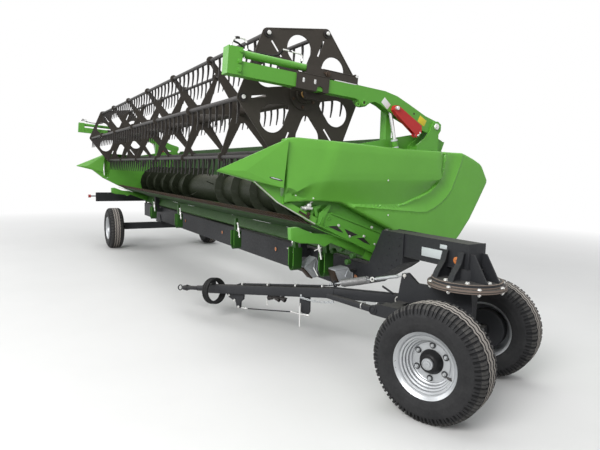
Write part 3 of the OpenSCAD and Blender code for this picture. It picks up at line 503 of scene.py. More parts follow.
COVER = [(-394, 13), (-352, 40), (-240, 92), (-120, 144), (0, 182), (60, 200), (122, 206), (300, 197),
    (694, 178), (1100, 270), (1330, 322), (1395, 338), (1425, 362), (1452, 430), (1505, 598), (1536, 780),
    (1563, 960), (1566, 995), (1556, 1022), (1470, 1085), (1434, 1109), (1400, 1120), (1300, 1124),
    (1180, 1118), (1136, 1112), (1060, 1082), (800, 980), (457, 843), (0, 685), (-479, 518), (-530, 495),
    (-566, 470), (-574, 458), (-570, 440), (-520, 320), (-450, 150)]
CREASE = [(1140, 1125), (1148, 1060), (1150, 921), (1146, 761), (1120, 680), (1079, 606), (1020, 530),
    (950, 465), (860, 428), (755, 397), (356, 272), (73, 188), (-40, 150), (-380, 0), (-700, 0), (-700, 1300),
    (1140, 1300)]
LIP = [(925, 1060), (941, 1002), (970, 900), (977, 806), (950, 720), (905, 645), (841, 583), (760, 515),
    (670, 434), (600, 396), (500, 356), (200, 245), (-46, 161), (-120, 138), (-203, 118), (-352, 106),
    (-700, 106), (-700, 1300), (925, 1300)]
FACE = [(846, 1080), (850, 1020), (866, 962), (905, 880), (950, 800), (952, 780), (935, 764), (900, 746),
    (-120, 323), (-171, 300), (-225, 266), (-262, 235), (-310, 180), (-352, 130), (-700, 120), (-700, 1300),
    (846, 1300)]
FOLDS = [line[:-3] for line in (CREASE, LIP, FACE)]
ROUND, GRID = 20, 15


def closest(p, line):
    best = 1e9
    for a, b in zip(line, line[1:]):
        dx, dy = b[0] - a[0], b[1] - a[1]
        t = min(1, max(0, ((p[0] - a[0]) * dx + (p[1] - a[1]) * dy) / (dx * dx + dy * dy)))
        best = min(best, math.hypot(p[0] - a[0] - t * dx, p[1] - a[1] - t * dy))
    return best


def within(p, outline):
    hit = False
    for a, b in zip(outline, outline[1:] + outline[:1]):
        if (a[1] > p[1]) != (b[1] > p[1]) and p[0] < a[0] + (p[1] - a[1]) / (b[1] - a[1]) * (b[0] - a[0]):
            hit = not hit
    return hit


def soft(t):
    t = min(1, max(0, t))
    return t * t * (3 - 2 * t)


def relief(p):
    """Height of the moulding at a point."""
    to_crease, to_lip, to_face = (closest(p, fold) for fold in FOLDS)
    if within(p, FACE):
        h = 147 - 3 * soft(1 - to_face / 60)
    elif within(p, LIP):
        t = to_face / (to_face + to_lip + 1e-6)
        h = 144 - 52 * (0.25 * soft(t) + 0.75 * t)
    elif within(p, CREASE):
        t = to_lip / (to_lip + to_crease + 1e-6)
        h = 92 + 18 * soft(to_lip / 9) - 15 * sin(pi * min(1, t)) * soft(to_lip / 12)
    else:
        h = 104 + 7 * soft(1 - to_crease / 10)
    bend = max(0, -100 - p[0])
    h -= 0.115 * bend * soft(bend / 160)
    top = 843 + (p[0] - 457) * 0.365 - p[1]
    return h - 0.10 * max(0, 60 - max(0, top)) * (p[0] < 1000)


def spaced(a, b, step):
    """Points from a to b, without b itself."""
    n = max(1, round(math.hypot(b[0] - a[0], b[1] - a[1]) / step))
    return [(a[0] + (b[0] - a[0]) * i / n, a[1] + (b[1] - a[1]) * i / n) for i in range(n)]


def dense(outline, step):
    return [p for a, b in zip(outline, outline[1:] + outline[:1]) for p in spaced(a, b, step)]


def inner_line(outline, d):
    """The outline moved inward by d."""
    out, n = [], len(outline)
    for i in range(n):
        a, b, c = (Vector(outline[j % n]) for j in (i - 1, i, i + 1))
        u, v = (b - a).normalized(), (c - b).normalized()
        k = Vector((-u.y, u.x)) + Vector((-v.y, v.x))
        out.append(tuple(b + d * k / max(0.5, 1 + u.dot(v))))
    return out


rim_line = dense(COVER, 26)
skin_line = inner_line(rim_line, ROUND)
skin_loop = skin_line + skin_line[:1]
fixed = list(skin_line)
n = len(fixed)
edges = [(i, (i + 1) % n) for i in range(n)]
for fold, gap in zip((FOLDS[0], FOLDS[1], FOLDS[1], FOLDS[2]), (0, 0, 9, 0)):
    walk = [p for a, b in zip(fold, fold[1:]) for p in spaced(a, b, 16)] + [fold[-1]]
    if gap:
        walk = inner_line(walk, -gap)[1:-1]
    inside = [p if within(p, skin_line) and closest(p, skin_loop) > 5 else None for p in walk]
    for p, q in zip(inside, inside[1:]):
        if p and q:
            edges.append((len(fixed), len(fixed) + 1))
            fixed += [p, q]
for i in range(-40, 110):
    for j in range(0, 76):
        p = (i * GRID + (j % 2) * GRID / 2, j * GRID)
        if within(p, skin_line) and closest(p, skin_loop) > 9 and min(closest(p, fold) for fold in FOLDS) > 7:
            fixed.append(p)
flat, _, flat_faces, *_ = delaunay_2d_cdt([Vector(p) for p in fixed], edges, [], 0, 0.8)
flat = [tuple(p) for p in flat]
flat_faces = [f for f in flat_faces if within([sum(flat[i][k] for i in f) / len(f) for k in (0, 1)], skin_line)]

for end, turn in END.items():
    shell = Piece("moulded_cover_" + end, "cover", HEAD @ turn)
    shell.faces([(COVER_X + relief(p), *p) for p in flat], flat_faces)
    layers = []
    for i, (outer, near) in enumerate(zip(rim_line, skin_line)):
        h = relief(near)
        column = [Vector((COVER_X + h - ROUND * (1 - cos(radians(a))),
            *(Vector(near).lerp(Vector(outer), sin(radians(a)))))) for a in (30, 60, 90)]
        open_top = 318 < outer[0] < 882 and outer[1] > 690
        column += [Vector((COVER_X + (124 if open_top else 60), *outer)),
            Vector((COVER_X + (123 if open_top else 1), *outer))]
        layers.append([shell.bm.verts.new(v) for v in [Vector((COVER_X + h, *near)), *column]])
    for a, b in zip(layers, layers[1:] + layers[:1]):
        for j in range(len(a) - 1):
            shell.bm.faces.new([a[j], b[j], b[j + 1], a[j + 1]])
    bmesh.ops.remove_doubles(shell.bm, verts=shell.bm.verts, dist=0.9)
    first = end == "near"
    o = shell.done("trailer", *(["side_covers"] if first else []), sharp=28, outward=(1 if first else -1, 0, 0))
    thick = o.modifiers.new("wall", "SOLIDIFY")
    thick.thickness, thick.offset = 0.0045, -1


# ---------- turntable, neck and front bogie ----------

bolts = Piece("turntable_upper_bolts", "white_zinc")
bolts.bolts([about("Z", 45 * i - 92) @ at(198, 0, 841) for i in range(8)], 8.5)
bolts.done("trailer")
bolts = Piece("turntable_lower_bolts", "white_zinc", BOGIE)
for i in range(8):
    m = about("Z", 45 * i - 95.6) @ at(254, 0, 812)
    bolts.bolt(m, 7.5)
    bolts.bolt(m @ at(0, 0, -28) @ about("X", 180), 7.5, stud=7)
bolts.done("bogie")
seam = Piece("turntable_rusty_seam", "rust", BOGIE)
seam.hoop(Matrix(), [(243.5, 811), (262, 812.2), (268.2, 810), (268.9, 806), (268.6, 797), (267, 797)], 96)
seam.hoop(Matrix(), [(240, 785), (268.3, 784.5), (268.9, 788), (268.3, 791), (266, 792)], 96)
seam.done("bogie")
race = Piece("turntable_bearing_race", "rust")
race.hoop(Matrix(), [(230, 812.6), (243, 813.2), (243.3, 819), (242.6, 822), (240, 822)], 96)
race.hoop(Matrix(), [(238, 838), (242.6, 838), (242.8, 840.5), (240, 841.6), (234, 841.8), (234, 840)], 96)
race.done("trailer")

plate = Piece("beam_end_cap", "grey")
plate.block(at(74, 0, 1000) @ about("Y", 90), (186, 166, 7), 2.5)
plate.done("trailer")
seams = Piece("neck_weld_seams", "grey")
for s in (-1, 1):
    seams.rod([(-570, s * 92, 918), (-570, s * 92, 1084)], 4.5, 8)
    for x in (-118, 28):
        seams.rod([(x - 9, s * 82, 842), (x - 9, s * 190, 842)], 4, 8)
        seams.rod([(x + 9, s * 82, 842), (x + 9, s * 190, 842)], 4, 8)
    seams.rod([(-566, s * 82, 911), (66, s * 82, 911)], 3.5, 8)
seams.rod([(226, -66, 846), (226, -54, 846)], 4, 8)
seams.done("trailer")
rivets = Piece("neck_small_bolts", "grey")
for x, z in ((-610, 1050), (-612, 985), (-618, 925), (-640, 870), (-742, 1062), (-745, 1000), (-735, 945),
        (-760, 890), (-700, 820), (-860, 760)):
    rivets.bolts([aimed((x, s * 92, z), (0, s, 0)) for s in (-1, 1)], 3.6, washer=False)
rivets.done("trailer")
blank = Piece("blank_type_plates", "plate yellow")
blank.block(at(-257, -81, 981) @ about("X", 90), (233, 66, 2.4), 1.0)
for x in (-365, -149):
    for z in (955, 1007):
        blank.turned(on_front(x, -82, z), [(0, -0.5), (4, 0), (3.2, 1.6), (0, 2)], 12)
blank.block(at(-157, -81, 1043) @ about("X", 90), (67, 30, 2.0), 0.8)
blank.done("trailer")
for i, (x, y, z, r) in enumerate(((-28, -82, 966, 30), (-1168, -93, 627, 27), (-2737, -81, 653, 27),
        (-4400, -81, 653, 27), (-6100, -81, 653, 27))):
    disc = Piece("side_reflector_%d" % (i + 1), "amber tine")
    m = on_front(x, y, z)
    disc.turned(m, [(0, 5), (r * 0.5, 6), (r * 0.86, 4.5), (r * 0.86, 0), (0, 0)], 32)
    disc.slot = 1
    disc.hoop(m, [(r * 0.86, 0), (r * 0.86, 5), (r * 0.93, 6), (r, 4), (r, 0)], 32)
    disc.turned(m, [(0, 5.6), (3, 6.4), (2, 7.6), (0, 8)], 10)
    disc.done("trailer")

pins = Piece("drawbar_hinge_rings", "grey steel", BOGIE)
for s in (-1, 1):
    for t in (-1, 1):
        m = aimed((HINGE_X, s * HINGE_Y + t * 51, HINGE_Z), (0, t, 0))
        pins.slot = 1 if s > 0 else 0
        pins.hoop(m, [(34, 0), (34, 5), (32, 7), (27, 7), (25, 4), (25, 0)], 40)
        pins.slot = 0
        pins.turned(m, [(0, 0), (15.5, 0), (15.5, 5), (13, 7), (0, 7)], 24)
pins.done("bogie")
lug = Piece("spring_lug_pin", "steel", BOGIE)
for t in (-1, 1):
    lug.turned(aimed((PIN_X, t * 20, PIN_Z), (0, t, 0)), [(0, 0), (14, 0), (14.5, 4), (12, 9), (0, 10)], 20)
lug.rod([(PIN_X, -27, 806), (PIN_X, -27, 774), (PIN_X + 4, -27, 768)], 2.2, 8)
lug.done("bogie")
nipples = Piece("grease_nipples", "white_zinc", BOGIE)
for x, y, z in ((HINGE_X, -HINGE_Y, 581), (HINGE_X, HINGE_Y, 581), (0, -300, 430), (0, 300, 430)):
    nipples.turned(at(x, y, z), [(0, -1), (4.5, -1), (4.5, 4), (3, 6), (3, 8), (3.6, 9.5), (2.4, 12),
        (0, 12.5)], 12)
nipples.done("bogie")

# spring and turnbuckle of the drawbar, along its own line
SPRING = BOGIE @ at(PIN_X, 0, PIN_Z) @ about("Y", -104.6)
link = Piece("drawbar_turnbuckle_and_spring", "zinc white_zinc coil", SPRING)
link.hoop(aimed((0, -7, 0), (0, 1, 0)), [(8.2, 0), (19, 0), (20, 2), (20, 12), (19, 14), (8.2, 14)], 32)
link.rod([(0, 0, 17), (0, 0, 78)], 8, 14)
link.turned(at(0, 0, 70), [(0, 0), (13, 0), (14.5, 4), (14.5, 12), (0, 12)], 6)
link.turned(at(0, 0, 82), [(0, -2), (13, -2), (14, 2), (14, 172), (12, 178), (9, 178)], 20)
for z in (118, 168, 218):
    link.rod([(0, -14.5, z), (0, 14.5, z)], 3.5, 8)
link.turned(at(0, 0, 258), [(0, 0), (13, 0), (14.5, 3), (14.5, 9), (0, 10)], 6)
link.rod([(0, 0, 262), (0, 0, 284)], 8, 14)
link.slot = 1
link.hoop(aimed((0, -6, 303), (0, 1, 0)),
    [(11, 0), (18, 0), (20.5, 3), (20.5, 9), (18, 12), (11, 12), (9, 9), (9, 3)], 32)
link.slot = 0
link.rod([(0, 0, 321), (0, 0, 352)], 7.5, 12)
turns, coil = 22, []
for i in range(turns * 16 + 1):
    a = 2 * pi * i / 16
    coil.append((27 * cos(a), 27 * sin(a), 352 + 244 * i / (turns * 16)))
link.slot = 2
link.rod(coil, 5.0, 6)
link.rod([(0, 0, 330), (0, 10, 340), (0, 26, 350)], 5.5, 8)
for z in (346, 596):
    link.turned(at(0, 0, z), [(0, 0), (30, 0), (31, 2.5), (30, 5), (0, 5)], 32)
link.slot = 0
link.rod([(0, 0, 348), (0, 0, 734)], 8, 12)
link.bolt(at(0, 0, 711), 8, stud=12)
link.done("drawbar_spring", "drawbar_spring")


# ---------- drawbar ----------

under = Piece("drawbar_stand_bracket", "grey", BOGIE)
under.prism(UPRIGHT @ at(0, 0, -9), [(-2465, 322), (-2200, 358), (-2206, 290), (-2248, 264), (-2246, 196),
    (-2300, 190), (-2312, 252), (-2410, 276)], 18, 3)
under.prism(UPRIGHT @ at(0, 0, -7), [(-1498, 468), (-1382, 478), (-1380, 330), (-1396, 302), (-1470, 298),
    (-1500, 330)], 14, 3)
under.done("drawbar")
bits = Piece("drawbar_stand_bolts", "white_zinc", BOGIE)
for x, z in ((-2410, 300), (-2330, 262), (-2275, 205)):
    bits.bolts([aimed((x, 9 * t, z), (0, t, 0)) for t in (-1, 1)], 6)
bits.rod([(-2288, 0, 196), (-2150, 0, 208)], 4.5, 8)
bits.turned(aimed((-2180, 0, 205), (1, 0, 0.08)), plug(8, -8, 8), 6)
bits.rod([(-1600, 0, 285), (-1400, 0, 287)], 6, 10)
for x in (-1592, -1425):
    bits.turned(on_side(x, 0, 286), plug(10, -9, 9), 6)
bits.done("drawbar")
thin = Piece("drawbar_stand_rod", "grey", BOGIE)
thin.rod([(-2150, 0, 208), (-1600, 0, 284)], 5.5, 10)
thin.done("drawbar")
handle = Piece("drawbar_tee_handle", "white white_zinc", BOGIE)
handle.rod([(-1478, -24, 366), (-1476, -24, 182)], 8.5, 14)
handle.rod([(-1474, -24, 392), (-1476, -24, 176)], 4, 10)
handle.slot = 1
handle.rod([(-1530, -24, 292), (-1366, -24, 300)], 5.5, 12)
handle.turned(aimed((-1384, -24, 299), (1, 0, 0.05)), [(0, -12), (10, -12), (11, 0), (10, 12), (0, 12)], 6)
handle.done("drawbar")
plugs = Piece("drawbar_plug_sockets", "tine white_zinc", BOGIE)
for x, z, r, tip in ((-1850, 372, 21, -1), (-1770, 372, 17, 1), (-1700, 384, 19, 1)):
    plugs.turned(aimed((x, 0, z), (tip, 0, -0.25)),
        [(0, -52), (r * 0.5, -50), (r * 0.62, -30), (r * 0.7, -26), (r, -22), (r, 12), (r * 1.12, 14),
        (r * 1.12, 28), (r * 0.85, 30), (r * 0.8, 20), (0, 20)], 24)
    plugs.block(at(x, 0, z + 24), (26, 20, 28), 3)
plugs.block(at(-1775, 0, 395), (230, 34, 9), 2)
plugs.slot = 1
plugs.rod([(-1893, -8, 356), (-1891, -8, 292)], 4.5, 8)
plugs.rod([(-1905, -8, 356), (-1880, -8, 356)], 4, 8)
plugs.rod([(-1893, -8, 304), (-1870, -8, 298)], 4, 8)
plugs.done("drawbar")
chain = Piece("drawbar_safety_chain", "zinc", BOGIE)
for i in range(15):
    x = -1450 + i * 24
    z = 452 - 15 * sin(pi * i / 14) + 0.055 * (x + 1450)
    loop = [(13 * cos(a) * (1 + 0.25 * abs(cos(a))), 7.5 * sin(a), 0)
        for a in (2 * pi * j / 12 for j in range(13))]
    chain.rod(loop, 3.7, 6, at(x, -46, z) @ about("X", 90 * (i % 2) + 20), ends=False)
for x, z in ((-1452, 470), (-1300, 446), (-1112, 488)):
    chain.turned(on_front(x, -41, z), [(0, -1), (11, -1), (11, 6), (8, 9), (0, 9)], 6)
chain.done("drawbar")
tube = Piece("drawbar_tube_and_legs", "grey", BOGIE)
slope = at(-1120, 0, 543) @ about("Y", -8.1)
tube.block(slope @ at(-834, 0, 0.5), (1686, 80, 85), 7)
tube.turned(slope @ aimed((-1670, 0, 0), (-1, 0, 0)),
    [(0, 0), (36, 0), (36, 12), (28, 24), (28, 132), (24, 138), (0, 138)], 32)
tube.block(slope @ at(-1866, 0, 0), (160, 68, 32), 6)
tube.block(slope @ at(-1542, 0, 61), (40, 40, 43), 3)
tube.hoop(at(-3090, 0, 262.6), [(20, -18), (44, -18), (52, -10), (52, 10), (44, 18), (20, 18), (17, 8),
    (17, -8)], 40)
tube.block(at(-1122, 0, 588), (12, 48, 24), 3)
tube.hoop(aimed((-1122, 0, 620), (0.968, 0, 0.252)), [(17, -6), (26, -6), (26, 6), (17, 6)], 28)


def leg(a, b, wide, high, start):
    """A square bar between two points, its ends cut upright."""
    points = [(p[0], p[1] + u * k / 2, p[2] + w * high / 2) for p, k in ((a, start), (b, wide))
        for u, w in ((-1, -1), (1, -1), (1, 1), (-1, 1))]
    vs = tube.faces(points, [(0, 1, 2, 3), (4, 5, 6, 7), (0, 1, 5, 4), (1, 2, 6, 5), (2, 3, 7, 6),
        (3, 0, 4, 7)])
    edges = list({e for v in vs for e in v.link_edges})
    bmesh.ops.bevel(tube.bm, geom=edges, offset=6, offset_type="OFFSET", segments=2, profile=0.5,
        affect="EDGES", clamp_overlap=True)


leg((-1128, 0, 543), (HINGE_X, HINGE_Y, HINGE_Z), 62, 84, 79)
leg((-1200, -14, 512), (HINGE_X, -HINGE_Y, 532), 52, 42, 40)
tube.rod([(-1126, -16, 590), (-860, 70, 592), (-650, 150, 594)], 5, 8)
tube.block(at(-700, 140, 616) @ about("Y", 24), (110, 10, 16), 3)
for s, r in ((1, 42), (-1, 30)):
    tube.hoop(aimed((HINGE_X, s * HINGE_Y - 37, HINGE_Z), (0, 1, 0)),
        [(16, 0), (r - 3, 0), (r, 3), (r, 71), (r - 3, 74), (16, 74)], 36)
tube.rod([(-1142, -2, 520), (-640, -186, 536)], 4, 8)
tube.done("drawbar", "drawbar")
clip = Piece("drawbar_leg_clip", "white_zinc", BOGIE)
clip.hoop(aimed((-740, -157, 533), (1, -0.34, 0)), [(27, -4), (31, -4), (31, 4), (27, 4)], 24)
clip.done("drawbar")
pipe = Piece("drawbar_brake_pipe", "grey", DRAW)
pipe.rod([(-1180, 12, 50), (-1150, 12, 57), (-60, 12, 57), (-20, 30, 62)], 5.5, 10)
pipe.rod([(-1180, -12, 50), (-1140, -12, 55), (-120, -12, 55)], 4, 8)
pipe.done("drawbar")
clips = Piece("drawbar_pipe_clips", "white_zinc", DRAW)
for x in (-1100, -760, -420, -120):
    clips.block(at(x, 0, 55), (16, 44, 20), 3)
    clips.turned(at(x, 0, 64), [(0, 0), (5.5, 0), (5.5, 4), (0, 5)], 6)
clips.done("drawbar")
eye = Piece("tow_eye_weld", "grey", DRAW)
for x in (-1984, -2104):
    eye.hoop(on_side(x, 0, 0), [(24, -8), (31, -5), (33, 0), (31, 5), (24, 8)], 28)
eye.done("drawbar")


# ---------- near and far ends of the header ----------

for end, turn in END.items():
    spots = Piece("cover_bolts_" + end, "white_zinc cover", HEAD @ turn)
    for p in ((-327, 110), (-185, 142), (555, 282), (401, 537)):
        m = on_side(COVER_X + relief(p) - 1.5, *p)
        spots.slot = 1
        spots.hoop(m, [(9, 0), (13, 0.5), (15, 2.6), (12.5, 4.2), (9, 3.2)], 24)
        spots.slot = 0
        spots.turned(m, [(0, 0), (7.5, 0.4), (7.5, 2.4), (5.5, 3.8), (0, 4)], 18)
    spots.done("trailer")

    rail = Piece("end_rail_bolts_" + end, "white_zinc green", HEAD @ turn)
    for y, z, r in ((166, 38, 6), (308, -6, 5.5), (448, 44, 6), (492, 140, 6), (620, 108, 5), (585, 20, 5)):
        rail.bolt(on_side(RAIL_X + 1, y, z), r)
    for y, z, r in ((120, -146, 8), (-140, -150, 6.5)):
        rail.bolt(on_side(HALF - 32, y, z), r)
    rail.slot = 1
    rail.hoop(on_side(RAIL_X, 50, 60), [(8, 0), (15, 0), (16, 2), (16, 7), (14, 9), (9.5, 9), (8, 7)], 28)
    for y, z in ((640, -10), (40, -14)):
        rail.hoop(on_side(RAIL_X, y, z), [(5, 0), (11, 0), (11, 5), (9, 6), (5, 5)], 24)
    rail.done("trailer")

    windows = Piece("end_rail_windows_" + end, "green tine", HEAD @ turn)
    windows.prism(crosswise(3844.6), [(50, -18), (612, -28), (596, 42), (430, 62), (100, 60)], 1.4,
        0.5)
    # the triangular windows are drawn as thin dark plates, painted shade in the openings, rimmed with green
    # rods
    for tri in ([(62, -8), (92, 8), (150, 32), (248, -2), (200, -8)],
            [(222, 36), (392, 36), (318, -10), (292, -8)], [(372, 4), (450, 34), (556, -4), (470, -8)]):
        windows.slot = 1
        windows.prism(crosswise(3845.6), tri, 1.4)
        windows.slot = 0
        for a, b in zip(tri, tri[1:] + tri[:1]):
            windows.rod([(3847, *a), (3847, *b)], 2.6, 8)
    windows.rod([(3852, -79, -54), (3852, 51, -54), (3852, 649, -38)], 3.4, 8)
    windows.done("trailer")

    stay = Piece("end_rail_brackets_" + end, "green", HEAD @ turn)
    for outline, x in (([(-56, 58), (4, 158), (28, 162), (7, 45), (21, -19), (-32, -29)], 3846),
            ([(-133, 87), (-62, 128), (-58, 104), (-102, 62), (-100, 10), (-119, -8)], 3840)):
        stay.prism(crosswise(x), outline, 9, 2)
    stay.rod([(3856, -28, 98), (3856, 3, 152)], 3.5, 8)
    stay.rod([(3856, -22, -18), (3856, -14, 44)], 3.5, 8)
    stay.block(at(3850, -86, 60) @ about("X", 40), (16, 26, 74), 3)
    stay.done("trailer")

    joint = Piece("drive_coupler_" + end, "white_zinc knife", HEAD @ turn)
    joint.rod([(3866, -232, 42), (3866, -140, 72)], 13, 16)
    joint.hoop(aimed((3866, -205, 51), (0, 0.95, 0.31)), [(13, 0), (20, 2), (20, 14), (17, 17), (13, 17)], 24)
    joint.turned(on_side(3868, -176, 84), [(0, -16), (15, -14), (19, -6), (19, 5), (13, 14), (0, 17)], 24)
    joint.rod([(3866, -176, 84), (3866, -168, 118)], 8, 12)
    joint.turned(aimed((3866, -168, 118), (0, 0.2, 0.98)), [(0, -2), (14, -2), (14, 8), (10, 11), (0, 11)], 6)
    joint.slot = 1
    joint.rod([(3860, -236, 10), (3860, -128, -6)], 10, 12)
    joint.turned(on_side(3864, -150, 20), [(0, -12), (17, -12), (17, 6), (14, 9), (0, 9)], 6)
    joint.done("trailer")

    roller = Piece("cover_latch_roller_" + end, "white_zinc", HEAD @ turn)
    roller.turned(on_side(3856, 700, 150), [(0, -34), (9, -34), (9, -14), (22, -14), (25, -11), (25, 8),
        (22, 11), (10, 11), (10, 20), (0, 22)], 32)
    roller.turned(on_side(3850, 655, 166), [(0, -28), (7, -28), (7, -8), (17, -8), (18, -5), (18, 6), (15, 9),
        (0, 10)], 28)
    roller.prism(crosswise(3824), [(628, 150), (720, 118), (734, 160), (660, 190)], 7, 1.5)
    roller.done("trailer")

    lip = Piece("divider_wear_strip_" + end, "steel", HEAD @ turn)
    lip.rod([(3862, -790, 108), (3862, -700, 84), (3861.5, -436, 5), (3861.5, -300, -8), (3861.5, -60, -30)],
        4.5, 10)
    lip.done("trailer")

    # the hand slot is drawn as a dark lozenge on the divider, painted shade in the opening, with a thinner pale
    # strip along it
    slot = Piece("divider_hand_slot_" + end, "tine plate", HEAD @ turn)
    a, b = Vector((3937, -500, 158)), Vector((3925, -608, 142))
    slot.rod([a, a.lerp(b, 0.2), a.lerp(b, 0.8), b], 8, 12, radii=[3, 8, 8, 3])
    slot.slot = 1
    up = Vector((6, 0, 1))
    slot.rod([a.lerp(b, 0.15) + up, a.lerp(b, 0.35) + up, a.lerp(b, 0.75) + up, a.lerp(b, 0.9) + up], 4, 10,
        radii=[1.5, 4, 4, 1.5])
    slot.done("trailer")

# chocks stowed on the beam: pressed wedges, a plain side and a ribbed back
chock = Piece("galvanised_wheel_chocks", "galvanised knife")
WEDGES = {-1740: [(-354, 650), (-228, 742), (-207, 700), (-216, 551), (-253, 545)],
    -1240: [(-347, 714), (-208, 728), (-184, 689), (-157, 680), (-159, 631), (-248, 620), (-284, 580)]}
for x, outline in WEDGES.items():
    chock.prism(crosswise(x), outline, 102, 4)
    middle = Vector([sum(p[k] for p in outline) / len(outline) for k in (0, 1)])
    plate = [tuple(middle + (Vector(p) - middle) * 0.97) for p in outline]
    chock.prism(crosswise(x + 102), plate, 8, 2)
    for a, b in zip(plate, plate[1:] + plate[:1]):
        chock.rod([(x + 110, *a), (x + 110, *b)], 4.5, 8)
    c, d = Vector(outline[0]), Vector(outline[1])
    out = Vector((c.y - d.y, d.x - c.x)).normalized()
    for k in range(6):
        u, v = (q + out * 2 for q in (c.lerp(d, 0.03), c.lerp(d, 0.97)))
        chock.rod([(x + 8 + 18.5 * k, u.x, u.y), (x + 8 + 18.5 * k, v.x, v.y)], 6.6, 8)
    # a dark strip along the lower edge of each wedge: painted shade on the chock's underside
    chock.slot = 1
    e = Vector(outline[-1])
    under = [tuple(c.lerp(middle, 0.05)), tuple(e.lerp(middle, 0.05)),
        tuple(e + (e - middle) * 0.03 + Vector((-7, -9))), tuple(c + Vector((-7, -9)))]
    chock.prism(crosswise(x + 4), under, 100, 2)
    chock.slot = 0
    f = middle.lerp(e, 0.2)
    chock.rod([(x + 111, *c.lerp(middle, 0.3)), (x + 111, *f), (x + 111, *d.lerp(middle, 0.35))], 3.2, 8)
chock.done("trailer", "chocks")
seat = Piece("chock_holders", "grey")
for x, z in ((-1690, 668), (-1190, 690)):
    seat.block(at(x, -150, z), (50, 140, 12), 3)
    seat.rod([(x, -100, z - 24), (x, -210, z - 24)], 7, 10)
seat.done("trailer")

# tee-headed clamp screws between the header and the trailer
def clamp(piece, head, foot, bar):
    h, g = Vector(head), Vector(foot)
    d = (g - h).normalized()
    piece.rod([h, g], 8, 12)
    piece.hoop(aimed(h.lerp(g, 0.30), d), [(8, 0), (14, 0), (15, 4), (15, 44), (12, 50), (8, 50)], 20)
    piece.turned(aimed(h.lerp(g, 0.80), d), [(8, 0), (13, 0), (13, 12), (8, 12)], 6)
    piece.turned(aimed(h, d), [(0, -14), (10, -12), (13, -6), (13, 6), (10, 12), (0, 12)], 16)
    a = h.lerp(g, 0.42)
    piece.rod([a - Vector(bar) * 0.72, a + Vector(bar) * 0.28], 5.5, 10)


screws = Piece("tee_clamp_screws", "white_zinc")
clamp(screws, (-1708, -440, 888), (-1708, -440, 726), (150, 0, 6))
clamp(screws, (-1261, -440, 963), (-1205, -440, 805), (110, 0, 44))
for x in (-3080, -5300, -6840):
    clamp(screws, (x + 95, -452, 935), (x + 150, -452, 780), (120, 0, 40))
screws.done("trailer")

# hooks under the header that rest on the trailer
# the hook straps and blocks take the hook finish, green darkened as painted shade; their edge rods and the end
# runners stay plain green
hooks = Piece("header_rest_hooks", "hook green", ROW)
RESTS = (-1231, -1658, -3060, -5300, -6840)
for x, y in zip((RESTS[0] - 60, *RESTS[1:]), (106, 0, 0, 0, 0)):
    arc = [(-46 * cos(pi * i / 12), 675 - 44 * sin(pi * i / 12)) for i in range(13)]
    inner = [(-38 * cos(pi * i / 12), 675 - 36 * sin(pi * i / 12)) for i in range(12, -1, -1)]
    strap = [(-46, 850)] + arc + [(46, 850), (38, 850)] + inner + [(-38, 850)]
    hooks.prism(UPRIGHT @ at(x, 0, 394 - y), strap, 92, 1.5)
    hooks.prism(UPRIGHT @ at(x, 0, 428 - y), [(-40, 846), (-22, 800), (22, 800), (40, 846), (22, 884),
        (22, 990), (-22, 990), (-22, 884)], 30, 3)
    hooks.prism(UPRIGHT @ at(x, 0, 408 - y), [(-34, 700), (-12, 660), (30, 690), (34, 760), (4, 800),
        (-30, 780)], 24, 4)
    hooks.slot = 1
    for side in (-47, 47):
        hooks.rod([(x + side * 0.96, y - 487, 846), (x + side * 0.96, y - 487, 680)], 3, 8)
    hooks.slot = 0
for end, turn in END.items():
    hooks.slot = 1
    hooks.prism(HEAD_LOCAL @ turn @ crosswise(HALF - 60), RUNNER, 56, 3)
hooks.done("trailer", "skid_shoes")
pins = Piece("hanger_bolts", "white_zinc")
for x in RESTS:
    pins.rod([(x - 20, -440, 650), (x - 96, -440, 712)], 5, 10)
pins.done("trailer")
# lugs under the end, in the green darkened as painted shade
lugs = Piece("lugs_under_the_end_painted_shade", "hook")
for x, z in ((-1172, 879), (-1045, 914), (-953, 819), (-886, 880)):
    lugs.turned(on_front(x, -350, z), [(0, -30), (20, -30), (24, -24), (24, 6), (20, 11), (0, 12)], 24)
lugs.done("trailer")


# ---------- reel arms, carriages and reel ----------

